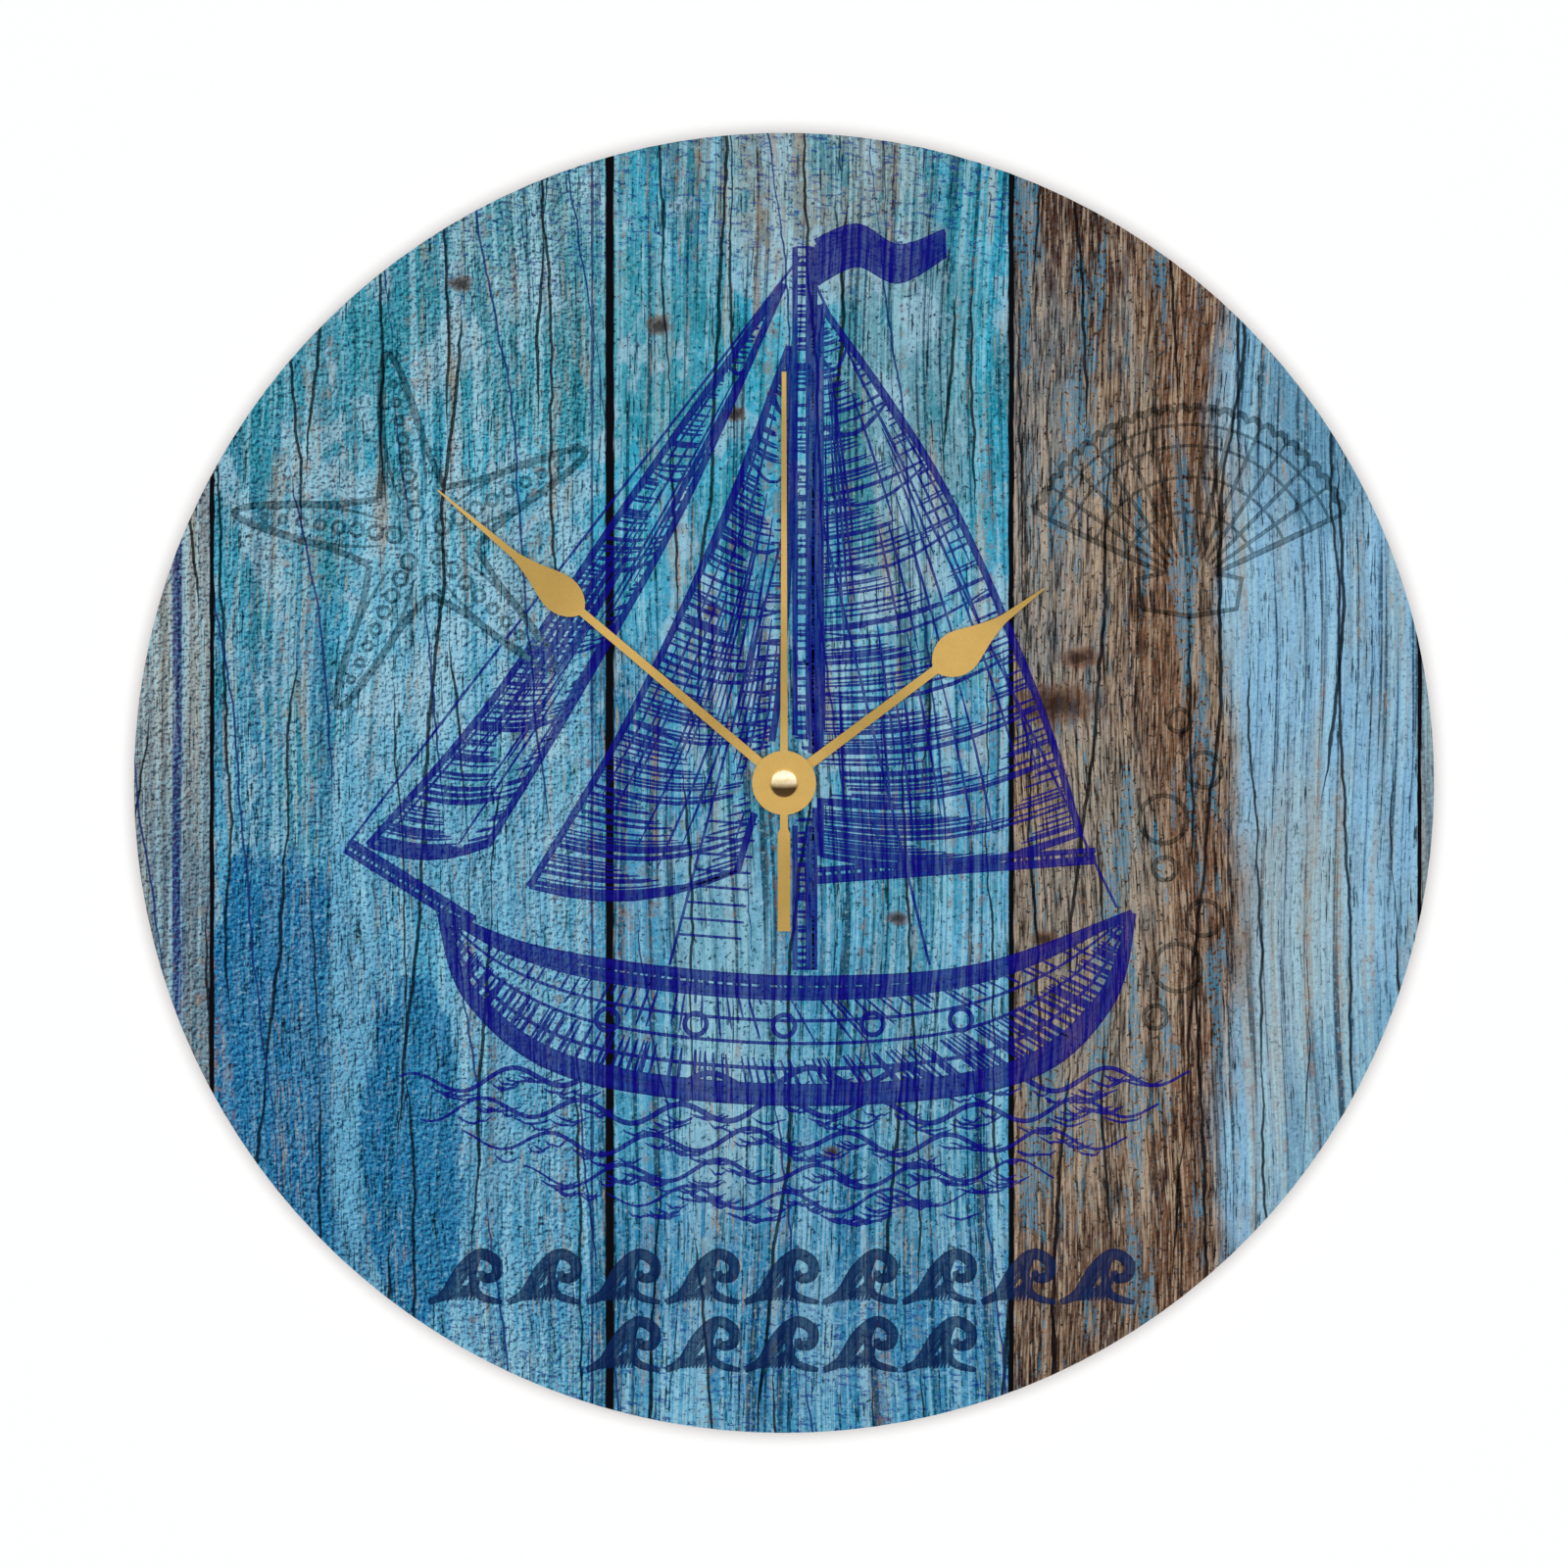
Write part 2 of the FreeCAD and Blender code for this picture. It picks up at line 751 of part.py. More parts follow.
def coil_winding():
    """Fine copper wire wound full between the flanges."""
    left = bobbin_left + bobbin_flange_thickness
    right = bobbin_right - bobbin_flange_thickness
    pack = lying_rod(winding_radius, left, right, coil_depth, coil_height)
    wall = bobbin_wall
    near = coil_depth - core_thickness / 2 - wall
    far = coil_depth + core_thickness / 2 + wall
    reach = core_width / 2 + wall
    hollow = block(left - overrun, right + overrun, near, far, coil_height - reach, coil_height + reach)
    return pack.cut(hollow)


def rotor_magnet():
    return bored(magnet_radius, arbor_radius, magnet_near, magnet_far, rotor_place)


def rotor_pinion():
    module = shaft_module(rotor_distance, intermediate_wheel_teeth, rotor_leaves)
    facing = bearing(rotor_place, intermediate_place)
    return fused([
        pinion(rotor_leaves, module, facing, intermediate_wheel_near - leaf_overlap,
               intermediate_wheel_near, rotor_place),
        rod(arbor_radius, rotor_boss_far - pivot_length, plate_near + pivot_length, rotor_place),
    ])


# Wheel train of the seconds side
def intermediate_wheel():
    module = shaft_module(rotor_distance, intermediate_wheel_teeth, rotor_leaves)
    leaf_module = shaft_module(second_distance, second_wheel_teeth, intermediate_leaves)
    return fused([
        wheel(intermediate_wheel_teeth, module, bearing(intermediate_place, rotor_place),
              intermediate_wheel_near, intermediate_place),
        pinion(intermediate_leaves, leaf_module, bearing(intermediate_place, shaft_place),
               intermediate_wheel_near, second_wheel_near, intermediate_place),
        rod(arbor_radius, rear_boss_far - pivot_length, plate_near + pivot_length, intermediate_place),
    ])


def second_wheel():
    """Seconds wheel on the long arbor that runs forward through the minute pipe."""
    module = shaft_module(second_distance, second_wheel_teeth, intermediate_leaves)
    leaf_module = shaft_module(third_distance, third_wheel_teeth, second_leaves)
    return fused([
        wheel(second_wheel_teeth, module, bearing(shaft_place, intermediate_place),
              second_wheel_near, shaft_place),
        pinion(second_leaves, leaf_module, bearing(shaft_place, third_place), second_wheel_near,
               third_wheel_near, shaft_place),
        rod(second_arbor_radius, rear_boss_far - pivot_length, second_sheet_far, shaft_place),
    ])


def third_wheel():
    module = shaft_module(third_distance, third_wheel_teeth, second_leaves)
    leaf_module = shaft_module(third_distance, centre_wheel_teeth, third_leaves)
    return fused([
        wheel(third_wheel_teeth, module, bearing(third_place, shaft_place), third_wheel_near, third_place),
        pinion(third_leaves, leaf_module, bearing(third_place, shaft_place), third_wheel_near,
               centre_wheel_near, third_place),
        rod(arbor_radius, rear_boss_far - pivot_length, third_boss_near + pivot_length, third_place),
    ])


def centre_wheel():
    module = shaft_module(third_distance, centre_wheel_teeth, third_leaves)
    bore = minute_pipe_radius + running_gap
    return wheel(centre_wheel_teeth, module, bearing(shaft_place, third_place), centre_wheel_near,
                 shaft_place, bore)


# Motion work
def clutch_spring():
    """Star spring on the minute pipe that presses on the centre wheel."""
    pieces = [rod(clutch_radius, clutch_near, flange_near)]
    for arm in range(clutch_arms):
        half = clutch_arm_width / 2
        bar = block(0, clutch_arm_reach, clutch_near, flange_near, -half, half)
        bar.rotate(FreeCAD.Vector(0, 0, 0), FreeCAD.Vector(0, 1, 0), full_turn / clutch_arms * arm)
        pieces.append(bar)
    return fused(pieces).cut(rod(minute_pipe_radius, clutch_near - overrun, flange_near + overrun))


def minute_pipe():
    """Cannon pinion in one piece with the minute pipe and the clutch's flange and lip."""
    module = shaft_module(motion_distance, minute_wheel_teeth, cannon_leaves)
    body = fused([
        rod(minute_pipe_radius, lip_near, minute_sheet_far),
        pinion(cannon_leaves, module, bearing(shaft_place, minute_wheel_place), flange_near,
               minute_wheel_near, shaft_place),
        rod(flange_radius, flange_near, cannon_near),
        rod(lip_radius, lip_near, lip_far),
    ])
    return body.cut(rod(minute_pipe_bore, lip_near - overrun, minute_sheet_far + overrun))


def minute_wheel():
    module = shaft_module(motion_distance, minute_wheel_teeth, cannon_leaves)
    leaf_module = shaft_module(motion_distance, hour_wheel_teeth, minute_leaves)
    return fused([
        wheel(minute_wheel_teeth, module, bearing(minute_wheel_place, shaft_place),
              minute_wheel_near, minute_wheel_place),
        pinion(minute_leaves, leaf_module, bearing(minute_wheel_place, shaft_place),
               minute_wheel_near, hour_wheel_near, minute_wheel_place),
        rod(arbor_radius, plate_far - pivot_length, floor_depth + pivot_length, minute_wheel_place),
    ])


def hour_wheel():
    module = shaft_module(motion_distance, hour_wheel_teeth, minute_leaves)
    disc = wheel(hour_wheel_teeth, module, bearing(shaft_place, minute_wheel_place),
                 hour_wheel_near, shaft_place)
    pipe = rod(hour_pipe_radius, hour_wheel_near, hour_sheet_far)
    return fused([disc, pipe]).cut(rod(hour_pipe_bore, hour_wheel_near - overrun, hour_sheet_far + overrun))


def setting_wheel():
    """Setting pinion on the arbor that the knob turns."""
    module = shaft_module(setting_distance, minute_wheel_teeth, setting_leaves)
    rear = knob_stand_off + knob_thickness - knob_bore_depth
    return fused([
        pinion(setting_leaves, module, bearing(setting_place, minute_wheel_place),
               cannon_near, minute_wheel_near, setting_place),
        rod(setting_arbor_radius, rear, cannon_near, setting_place),
        rod(arbor_radius, cannon_near, setting_boss_near + pivot_length, setting_place),
    ])


def setting_knob():
    """Knurled knob in the cover's recess."""
    far = knob_stand_off + knob_thickness
    root = (knob_radius - knob_grip_depth) / knob_grip_depth - knob_grips / 2
    ridges = [(root + rise, half) for rise, half in knob_grip_shares]
    knob = toothed(knob_grips, knob_grip_depth, ridges, 0, knob_stand_off, far, setting_place)
    return knob.cut(rod(setting_arbor_radius, far - knob_bore_depth, far + overrun, setting_place))


# Hands
def turned(hand, angle):
    """Hand turned clockwise from twelve, as seen from the front."""
    hand.rotate(FreeCAD.Vector(0, 0, 0), FreeCAD.Vector(0, 1, 0), angle)
    return hand


def spade_edges(length, arm_width, base, neck, spade_width):
    """Outline of a spade hand that points up: a tapering arm, a swelling and a fine point."""
    start = (arm_width / 2, 0)
    foot = (arm_width / 2 * arm_base_share, base)
    tip = (tip_width / 2, length)
    swell = [foot]
    for along, across in spade_shares:
        swell.append((spade_width / 2 * across, base + (neck - base) * along))
    edges = []
    for side in (1, -1):
        def place(point):
            return FreeCAD.Vector(side * point[0], 0, point[1])
        curve = Part.BSplineCurve()
        curve.interpolate([place(point) for point in swell])
        edges.append(Part.makeLine(place(start), place(foot)))
        edges.append(curve.toShape())
        edges.append(Part.makeLine(place(swell[-1]), place(tip)))
    edges.append(Part.makeLine(FreeCAD.Vector(-start[0], 0, 0), FreeCAD.Vector(start[0], 0, 0)))
    edges.append(Part.makeLine(FreeCAD.Vector(-tip[0], 0, length), FreeCAD.Vector(tip[0], 0, length)))
    return Part.__sortEdges__(edges)


def hour_hand():
    blade = slab(spade_edges(hour_length, hour_arm_width, hour_spade_base, hour_spade_neck, hour_spade_width),
                 hour_sheet_near, hour_sheet_far)
    hub = rod(hub_radius, hour_sheet_near, hour_sheet_far)
    collet = rod(hour_pipe_radius + collet_wall, hour_collet_near, hour_sheet_near)
    hand = fused([hub, blade, collet])
    hand = hand.cut(rod(hour_pipe_radius, hour_collet_near - overrun, hour_sheet_far + overrun))
    return turned(hand, hour_angle)


def minute_hand():
    blade = slab(spade_edges(minute_length, minute_arm_width, minute_spade_base, minute_spade_neck,
                             minute_spade_width), minute_sheet_near, minute_sheet_far)
    hub = rod(hub_radius, minute_sheet_near, minute_sheet_far)
    collet = rod(minute_pipe_radius + collet_wall, minute_collet_near, minute_sheet_near)
    hand = fused([hub, blade, collet])
    hand = hand.cut(rod(minute_pipe_radius, minute_collet_near - overrun, minute_sheet_far + overrun))
    return turned(hand, minute_angle)


def second_hand():
    """Straight tapering hand with a chamfered bar for its tail."""
    points = (
        (second_arm_width / 2, 0),
        (second_tip_width / 2, second_length),
        (-second_tip_width / 2, second_length),
        (-second_arm_width / 2, 0),
        (-second_neck_width / 2, 0),
        (-second_neck_width / 2, -second_neck_length),
        (-second_tail_width / 2, -second_neck_length - second_shoulder),
        (-second_tail_width / 2, -second_tail_length),
        (second_tail_width / 2, -second_tail_length),
        (second_tail_width / 2, -second_neck_length - second_shoulder),
        (second_neck_width / 2, -second_neck_length),
        (second_neck_width / 2, 0),
    )
    blade = slab(flat_edges(points), second_sheet_near, second_sheet_far)
    hub = rod(hub_radius, second_sheet_near, second_sheet_far)
    hand = fused([hub, blade])
    return hand.cut(rod(tube_radius, second_sheet_near - overrun, second_sheet_far + overrun))


def second_tube():
    return bored(tube_radius, second_arbor_radius, tube_near, second_sheet_far)


def second_cap():
    """Domed cap on the seconds hand."""
    sphere_radius = (cap_radius ** 2 + cap_height ** 2) / (2 * cap_height)
    middle_depth = second_sheet_far + cap_height - sphere_radius
    dome = Part.makeSphere(sphere_radius, FreeCAD.Vector(0, -middle_depth, 0))
    return dome.common(rod(cap_radius + overrun, second_sheet_far, second_sheet_far + cap_height + overrun))


# Battery cell, its contacts and the circuit
cell_left = -(cell_can_length + cell_nub_height) / 2
cell_right = cell_left + cell_can_length


def battery_can():
    return lying_rod(cell_radius, cell_left, cell_right, cell_depth, cell_height)


def battery_cap():
    """Nub of the positive end."""
    return lying_rod(cell_nub_radius, cell_right, cell_right + cell_nub_height, cell_depth, cell_height)


def contact_plate(side, top):
    """Upright contact plate on an end wall of the well, with the tab that rises through the slot."""
    inner = inner_half - contact_thickness
    reach = sorted((side * inner_half, side * inner))
    foot = cell_height - contact_height / 2
    half = contact_width / 2
    plate = block(*reach, cell_depth - half, cell_depth + half, foot, foot + contact_height)
    half_tab = contact_tab_width / 2
    tab = block(*reach, cell_depth - half_tab, cell_depth + half_tab, foot, top)
    return [plate, tab]


board_left = inner_half - circuit_side_gap
circuit_foot = partition_top + circuit_foot_gap
circuit_top = circuit_foot + circuit_height
circuit_near = plate_near - circuit_thickness
strip_foot = partition_top + ledge_reach + running_gap
strip_top = strip_foot + contact_thickness
foot_top = strip_top + contact_foot_length
foot_far = circuit_near
foot_near = foot_far - contact_thickness


def negative_contact():
    """Left contact: a plate with a bowed leaf towards the cell, and a foot on the circuit board."""
    pieces = contact_plate(-1, foot_top)
    inner = -inner_half + contact_thickness
    reach = cell_left - cell_gap
    pieces.append(contact_leaf(inner, reach))
    pieces.append(block(-inner_half, -board_left + contact_foot_length, foot_near, foot_far,
                        strip_top, foot_top))
    half_tab = contact_tab_width / 2
    pieces.append(block(-inner_half, inner, foot_near, cell_depth + half_tab, strip_top, foot_top))
    return fused(pieces)


def contact_leaf(inner, reach):
    """Bowed leaf drawn in plan, which springs from the plate towards the cell."""
    half = contact_width / 2
    height = contact_height * contact_leaf_share
    foot = cell_height - height / 2
    lean = reach - inner
    outer = [
        FreeCAD.Vector(inner, -cell_depth + half, foot),
        FreeCAD.Vector(inner + lean, -cell_depth, foot),
        FreeCAD.Vector(inner, -cell_depth - half, foot),
    ]
    back = [point - FreeCAD.Vector(contact_thickness, 0, 0) for point in reversed(outer)]
    edges = [Part.Arc(*outer).toShape(), Part.makeLine(outer[2], back[0])]
    edges += [Part.Arc(*back).toShape(), Part.makeLine(back[2], outer[0])]
    face = Part.Face(Part.Wire(edges))
    return face.extrude(FreeCAD.Vector(0, 0, height))


def positive_contact():
    """Right contact: a plate at the nub and a strip along the partition to the circuit board."""
    pieces = contact_plate(1, strip_top)
    inner = inner_half - contact_thickness
    half_tab = contact_tab_width / 2
    strip_near = foot_near
    end = -circuit_right - contact_foot_length
    pieces.append(block(end, inner_half, strip_near, cell_depth + half_tab, strip_foot, strip_top))
    pieces.append(block(end, end + contact_foot_length, foot_near, foot_far, strip_foot, foot_top))
    pad_reach = cell_right + cell_nub_height + cell_gap / 2
    pieces.append(lying_rod(cell_nub_radius, pad_reach, inner, cell_depth, cell_height))
    return fused(pieces)


def circuit_board():
    return block(-board_left, -circuit_right, circuit_near, plate_near, circuit_foot, circuit_top)


def quartz_crystal():
    """Small can that lies on the circuit board."""
    depth = circuit_near - crystal_radius
    height = circuit_top - crystal_length - crystal_radius
    place = FreeCAD.Vector(-board_left + 2 * crystal_radius, -depth, height)
    return Part.makeCylinder(crystal_radius, crystal_length, place, FreeCAD.Vector(0, 0, 1))


def circuit_chip():
    """Resin block over the circuit's chip."""
    place = (-circuit_right - chip_edge_gap - chip_half, circuit_top - chip_edge_gap - chip_half)
    return pad(chip_half, circuit_near - chip_height, circuit_near, place)


pieces = (
    dial_board, dial_print, rubber_washer, brass_washer, hex_nut, shaft_bush, hanger_plate,
    case_front, case_back, middle_plate, stator, coil_core, coil_bobbin, coil_winding,
    circuit_board, quartz_crystal, circuit_chip, positive_contact, negative_contact,
    rotor_magnet, rotor_pinion, intermediate_wheel, second_wheel, third_wheel, centre_wheel,
    clutch_spring, minute_pipe, minute_wheel, hour_wheel, setting_wheel, setting_knob,
    hour_hand, minute_hand, second_hand, second_tube, second_cap, battery_can, battery_cap,
)

os.makedirs("parts", exist_ok=True)
for make in pieces:
    shape = make()
    shape.translate(FreeCAD.Vector(0, 0, -hang_drop))
    shape.exportStep("parts/" + make.__name__ + ".step")
    print(make.__name__, len(shape.Solids), shape.isValid(), round(shape.Volume, 2))
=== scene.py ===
"""A round wall clock: a printed board dial, three gold hands and a quartz movement behind."""

import math
import random

import bmesh
import bpy
from bpy.props import FloatProperty, FloatVectorProperty, IntProperty, PointerProperty
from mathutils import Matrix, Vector


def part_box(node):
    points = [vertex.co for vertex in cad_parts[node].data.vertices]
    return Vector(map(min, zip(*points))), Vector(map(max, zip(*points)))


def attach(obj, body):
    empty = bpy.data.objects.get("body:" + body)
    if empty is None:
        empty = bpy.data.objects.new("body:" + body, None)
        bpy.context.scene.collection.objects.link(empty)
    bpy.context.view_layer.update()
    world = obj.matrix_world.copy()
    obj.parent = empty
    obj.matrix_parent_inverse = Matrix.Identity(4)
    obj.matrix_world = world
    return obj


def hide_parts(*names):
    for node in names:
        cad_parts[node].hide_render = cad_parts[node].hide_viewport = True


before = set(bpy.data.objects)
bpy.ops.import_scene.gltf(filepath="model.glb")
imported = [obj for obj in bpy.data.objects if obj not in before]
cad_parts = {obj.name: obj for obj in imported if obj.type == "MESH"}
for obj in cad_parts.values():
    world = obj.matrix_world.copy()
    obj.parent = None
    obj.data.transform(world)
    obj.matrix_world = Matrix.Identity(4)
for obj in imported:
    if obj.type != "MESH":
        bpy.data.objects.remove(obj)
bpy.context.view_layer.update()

bl_info = {
    "name": "Board Dial Wall Clock",
    "version": (1, 0, 0),
    "blender": (4, 5, 0),
    "location": "3D View > Sidebar > Wall Clock",
    "description": "Dresses the packed wall clock with its print, ink, hands, cell and stage",
    "category": "Add Mesh",
}


def corners(node):
    """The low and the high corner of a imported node's box."""
    low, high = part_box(node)
    return Vector(low), Vector(high)


def srgb(red, green, blue):
    """A colour in 0 to 255 steps, as Blender's linear numbers."""
    def linear(step):
        share = step / 255
        return share / 12.92 if share <= 0.04045 else ((share + 0.055) / 1.055) ** 2.4
    return (linear(red), linear(green), linear(blue))


# Dial, from the imported part: its print faces the camera
MM = 0.001
DIAL_LOW, DIAL_HIGH = corners("dial_print")
DIAL_CENTRE = (DIAL_LOW + DIAL_HIGH) / 2
PRINT_FACE = DIAL_LOW.y

# Drawing area in millimetres: clear of the rim and of the hands' bush
DRAWING_RIM = 122.5
DRAWING_HUB = 7.4
HATCH_STEPS = 6
# Lines of the hull: share of the way from deck to keel, and width
PLANKS = ((0.0, 1.9), (0.10, 1.7), (0.15, 0.9), (0.34, 0.6), (0.53, 0.6), (0.74, 0.7), (0.9, 1.6),
          (0.95, 1.8), (1.0, 2.2))
HULL_STROKES = 150
# Mast, boom and bowsprit: both ends, half thickness and strokes across
SPARS = (((4, -36), (4, 103), 1.9, 150), ((4, -18), (60, -14), 1.1, 60), ((-60, -27), (-84, -12), 1.1, 30))
# Main sail and two fore sails: front edge, back edge, sag and panels
SAILS = (([(7, 92), (7, 50), (7, 10), (7, -14)], [(7, 92), (30, 58), (48, 18), (57, -10)], -4.0, 10),
         ([(1, 84), (-12, 50), (-30, 12), (-49, -20)], [(1, 84), (1, 46), (-2, 10), (-9, -17)], -3.5, 9),
         ([(0, 96), (-30, 54), (-56, 16), (-80, -12)], [(0, 96), (-19, 54), (-39, 18), (-57, -12)], -2.0, 7))
SAIL_STROKES = 150
STAYS = (((5, 98), (64, -24)), ((3, 101), (-84, -12)), ((3, 60), (-22, -35)), ((5, 60), (28, -35)))
# Swell rows: left end, right end and level; wave rows: level and reach to each side
SWELL = ((-74, 78, -57), (-70, 72, -63), (-62, 66, -69), (-50, 52, -75), (-34, 36, -80))
WAVE_ROWS = ((-95.5, 62.0), (-108.5, 38.0))
# Spreads the levels of the strokes, so that two crossing ones seldom lie in one plane
LEVEL_STEP = 0.6180339

# Cap: foot radius as a share, and chamfer and skirt as shares of its height
CAP_FOOT, CAP_CHAMFER, CAP_SKIRT, CAP_STEPS = 0.97, 0.04, 0.12, 16
# Cell: rolled edges, dished minus end and the nub at the plus end
CELL_ROLL, CELL_DISH = 0.5 * MM, 0.3 * MM
NUB_FOOT, NUB_FILLET, NUB_TOP, NUB_EDGE = 1.2 * MM, 0.4 * MM, 0.3 * MM, 0.1 * MM
# Sleeve in millimetres: length of the copper band and of the bare ends, and the blur of their edges
COPPER_LENGTH, PLUS_END, MINUS_END, SLEEVE_BLUR = 14.9, 1.0, 0.8, 0.1
# Bars of the plus and the minus sign in millimetres: place along the cell, half length and half height
SLEEVE_BARS = ((16.5, 1.7, 0.4), (16.5, 0.4, 1.7), (-19.5, 1.7, 0.4))
# Knob: how far its core and the middle of its ribs lie inside its radius, and its rounded edge
KNOB_CORE, KNOB_RING = 0.6 * MM, 0.62 * MM
KNOB_ROUND, KNOB_EDGE, KNOB_TOP = 0.4 * MM, 0.1 * MM, 0.3 * MM
RIB_WIDTH, RIB_DEPTH, RIB_SHORTER = 0.9 * MM, 0.46 * MM, 0.5 * MM
# Arrows on the knob: inner and outer radius, barb, height over the face and root in it, and angles
ARROW_INNER, ARROW_OUTER, ARROW_BARB = 2.3 * MM, 3.0 * MM, 0.8 * MM
ARROW_HEIGHT, ARROW_ROOT = 0.18 * MM, 0.1 * MM
ARROW_FROM, ARROW_SWEEP, ARROW_POINT, ARROW_STEPS = math.radians(20), math.radians(95), 0.45, 14

# Stage
WALL_SIZE, WALL_GAP = 3.0, 0.0004
FLOOR_SIZE, FLOOR_LEVEL = 4.0, -1.45
SENSOR = 36.0
CAMERA_DROP = 0.2 * MM
WALL_WHITE, WALL_GLOW = (0.90, 0.925, 0.94), (0.09, 0.09, 0.09)
REAR_SPREAD, REAR_TURN = 0.6, (-math.pi / 2 + 0.5, 0.0, 0.3)
# What metal mirrors, from straight down to straight up
ROOM_BANDS = ((0.0, (0.10, 0.07, 0.04)), (0.30, (0.07, 0.05, 0.03)), (0.43, (0.62, 0.58, 0.52)),
              (0.50, (1.0, 1.0, 1.0)), (0.60, (1.1, 1.1, 1.1)), (0.76, (2.0, 2.0, 2.0)),
              (1.0, (1.2, 1.2, 1.2)))

# Surfaces
WHITE = (1.0, 1.0, 1.0)
BUMP_DEPTH = 0.05 * MM
PRINT_GLOSS = 0.05
WIRE_WIDTH = 0.16
FAINT_INK = srgb(110, 122, 128)

# Boards, in millimetres from the dial's centre; each seam has its place across and its half width
BOARD_SEAMS = ((-110.0, 0.42), (-33.5, 0.80), (43.7, 0.52), (122.2, 0.4))
BOARD_SHIFT = 37.3
ARRIS, BLUE_STAIN, HEARTWOOD = -36.9, -116.6, 77.0
# Paints and stains on the boards
PAINTS = {
    "deep_sky": srgb(54, 134, 178), "light_sky": srgb(92, 170, 206),
    "green_smear": srgb(58, 108, 118), "blot": srgb(58, 134, 164), "pale_blot": srgb(138, 194, 214),
    "lobe": srgb(30, 132, 150), "pale_lobe": srgb(158, 196, 214), "dry_streak": srgb(160, 140, 116),
    "brown_wood": srgb(118, 94, 74), "blue_wood": srgb(78, 126, 148),
    "heartwood": srgb(110, 74, 50), "year_ring": srgb(58, 36, 26),
    "wash": srgb(132, 180, 214), "chalk": srgb(168, 172, 164),
    "grey_edge": srgb(158, 158, 150), "blue_edge": srgb(104, 124, 138), "stain": srgb(26, 30, 110),
    "paint_thread": srgb(168, 212, 226), "wood_thread": srgb(198, 178, 154),
    "paint_pore": srgb(2, 36, 60), "wood_pore": srgb(20, 12, 8),
    "dry_thread": srgb(164, 142, 118), "ink_thread": srgb(4, 12, 22),
    "straw": srgb(190, 172, 150), "wood_split": srgb(24, 12, 8), "flake": srgb(56, 128, 160),
    "navy_dash": srgb(10, 38, 128), "raised": srgb(58, 130, 150), "sunken": srgb(30, 100, 140),
    "rust": srgb(142, 106, 80), "knot": srgb(96, 62, 42), "knot_heart": srgb(28, 16, 12),
    "arris": srgb(18, 22, 84), "seam": srgb(4, 4, 8),
}
# Patches of paint: middle, half sizes, raggedness, softness, colour and strength
LEFT_PATCHES = (
    ((-58, 92), (44, 26), 1.6, 0.5, (66, 136, 146), 0.55),
    ((-50, 106), (16, 20), 1.8, 0.5, (140, 184, 192), 0.7),
    ((-97, 58), (15, 30), 1.4, 0.4, (52, 132, 156), 0.8),
    ((-96, 8), (12, 30), 1.4, 0.5, (46, 112, 146), 0.65),
    ((-72, 28), (12, 32), 1.6, 0.6, (122, 188, 214), 0.7),
    ((-52, -20), (15, 60), 1.6, 0.5, (114, 178, 210), 0.65),
    ((-80, -72), (7, 30), 1.8, 0.4, (118, 176, 208), 0.7),
    ((-58, -88), (20, 34), 1.6, 0.5, (70, 148, 190), 0.7),
    ((6, 120), (26, 24), 1.4, 0.5, (146, 146, 134), 0.8),
    ((22, 70), (12, 46), 1.7, 0.5, (118, 142, 148), 0.65),
    ((8, -96), (44, 26), 1.4, 0.5, (40, 120, 168), 0.75),
    ((-12, -46), (8, 40), 1.7, 0.5, (150, 190, 204), 0.5),
    ((24, -54), (10, 50), 1.6, 0.5, (58, 130, 160), 0.6))
DEEP_PATCHES = (
    ((-94, -56), (20, 44), 0.9, 0.07, (24, 104, 156), 0.95),
    ((-83, -40), (5, 48), 1.2, 0.35, (112, 178, 210), 0.72),
    ((-71, -68), (9, 34), 1.1, 0.10, (28, 110, 160), 0.92))
WOOD_PATCHES = (
    ((54, 112), (15, 36), 0.9, 0.4, (70, 40, 26), 0.9),
    ((76, 96), (9, 26), 1.2, 0.4, (112, 78, 54), 0.8),
    ((50, 60), (9, 40), 1.5, 0.5, (120, 134, 140), 0.6),
    ((58, -26), (14, 40), 1.5, 0.5, (132, 130, 124), 0.7),
    ((56, -108), (20, 30), 1.2, 0.5, (94, 66, 50), 0.8),
    ((84, -84), (10, 24), 1.2, 0.5, (104, 78, 62), 0.7))
WASH_PATCHES = (
    ((104, 80), (18, 26), 1.4, 0.5, (84, 138, 168), 0.75),
    ((98, -34), (10, 42), 1.5, 0.5, (160, 170, 168), 0.5),
    ((108, -70), (12, 30), 1.5, 0.5, (96, 146, 176), 0.7))
# Knots: middle and half sizes
KNOTS = ((57, 24, 2.6, 1.3), (50, -30, 1.6, 1.0), (52, 15, 5.0, 2.6), (-9.5, 71, 1.2, 0.9),
         (22, -26, 1.3, 0.9), (-62, 96, 1.5, 1.0), (9, -71, 1.0, 0.8), (-14, 33, 1.2, 0.8),
         (-24, 88, 1.6, 1.2))
# Families of cracks: spacing, slant, sway, half width, seed, colour and whether paint alone has them
CRACKS = ((15.0, 0.035, 2.6, 0.28, 3.0, (4, 6, 12), False),
          (23.0, -0.07, 3.6, 0.34, 19.0, (2, 3, 8), False),
          (19.0, 0.11, 3.0, 0.20, 31.0, (20, 40, 104), True))
# Bends, kinks and gaps of a crack: row of the noise, cycles to the millimetre and detail
CRACK_NOISES = ((0.0, 0.022, 1.0), (9.0, 0.17, 2.0), (4.0, 0.016, 1.0))

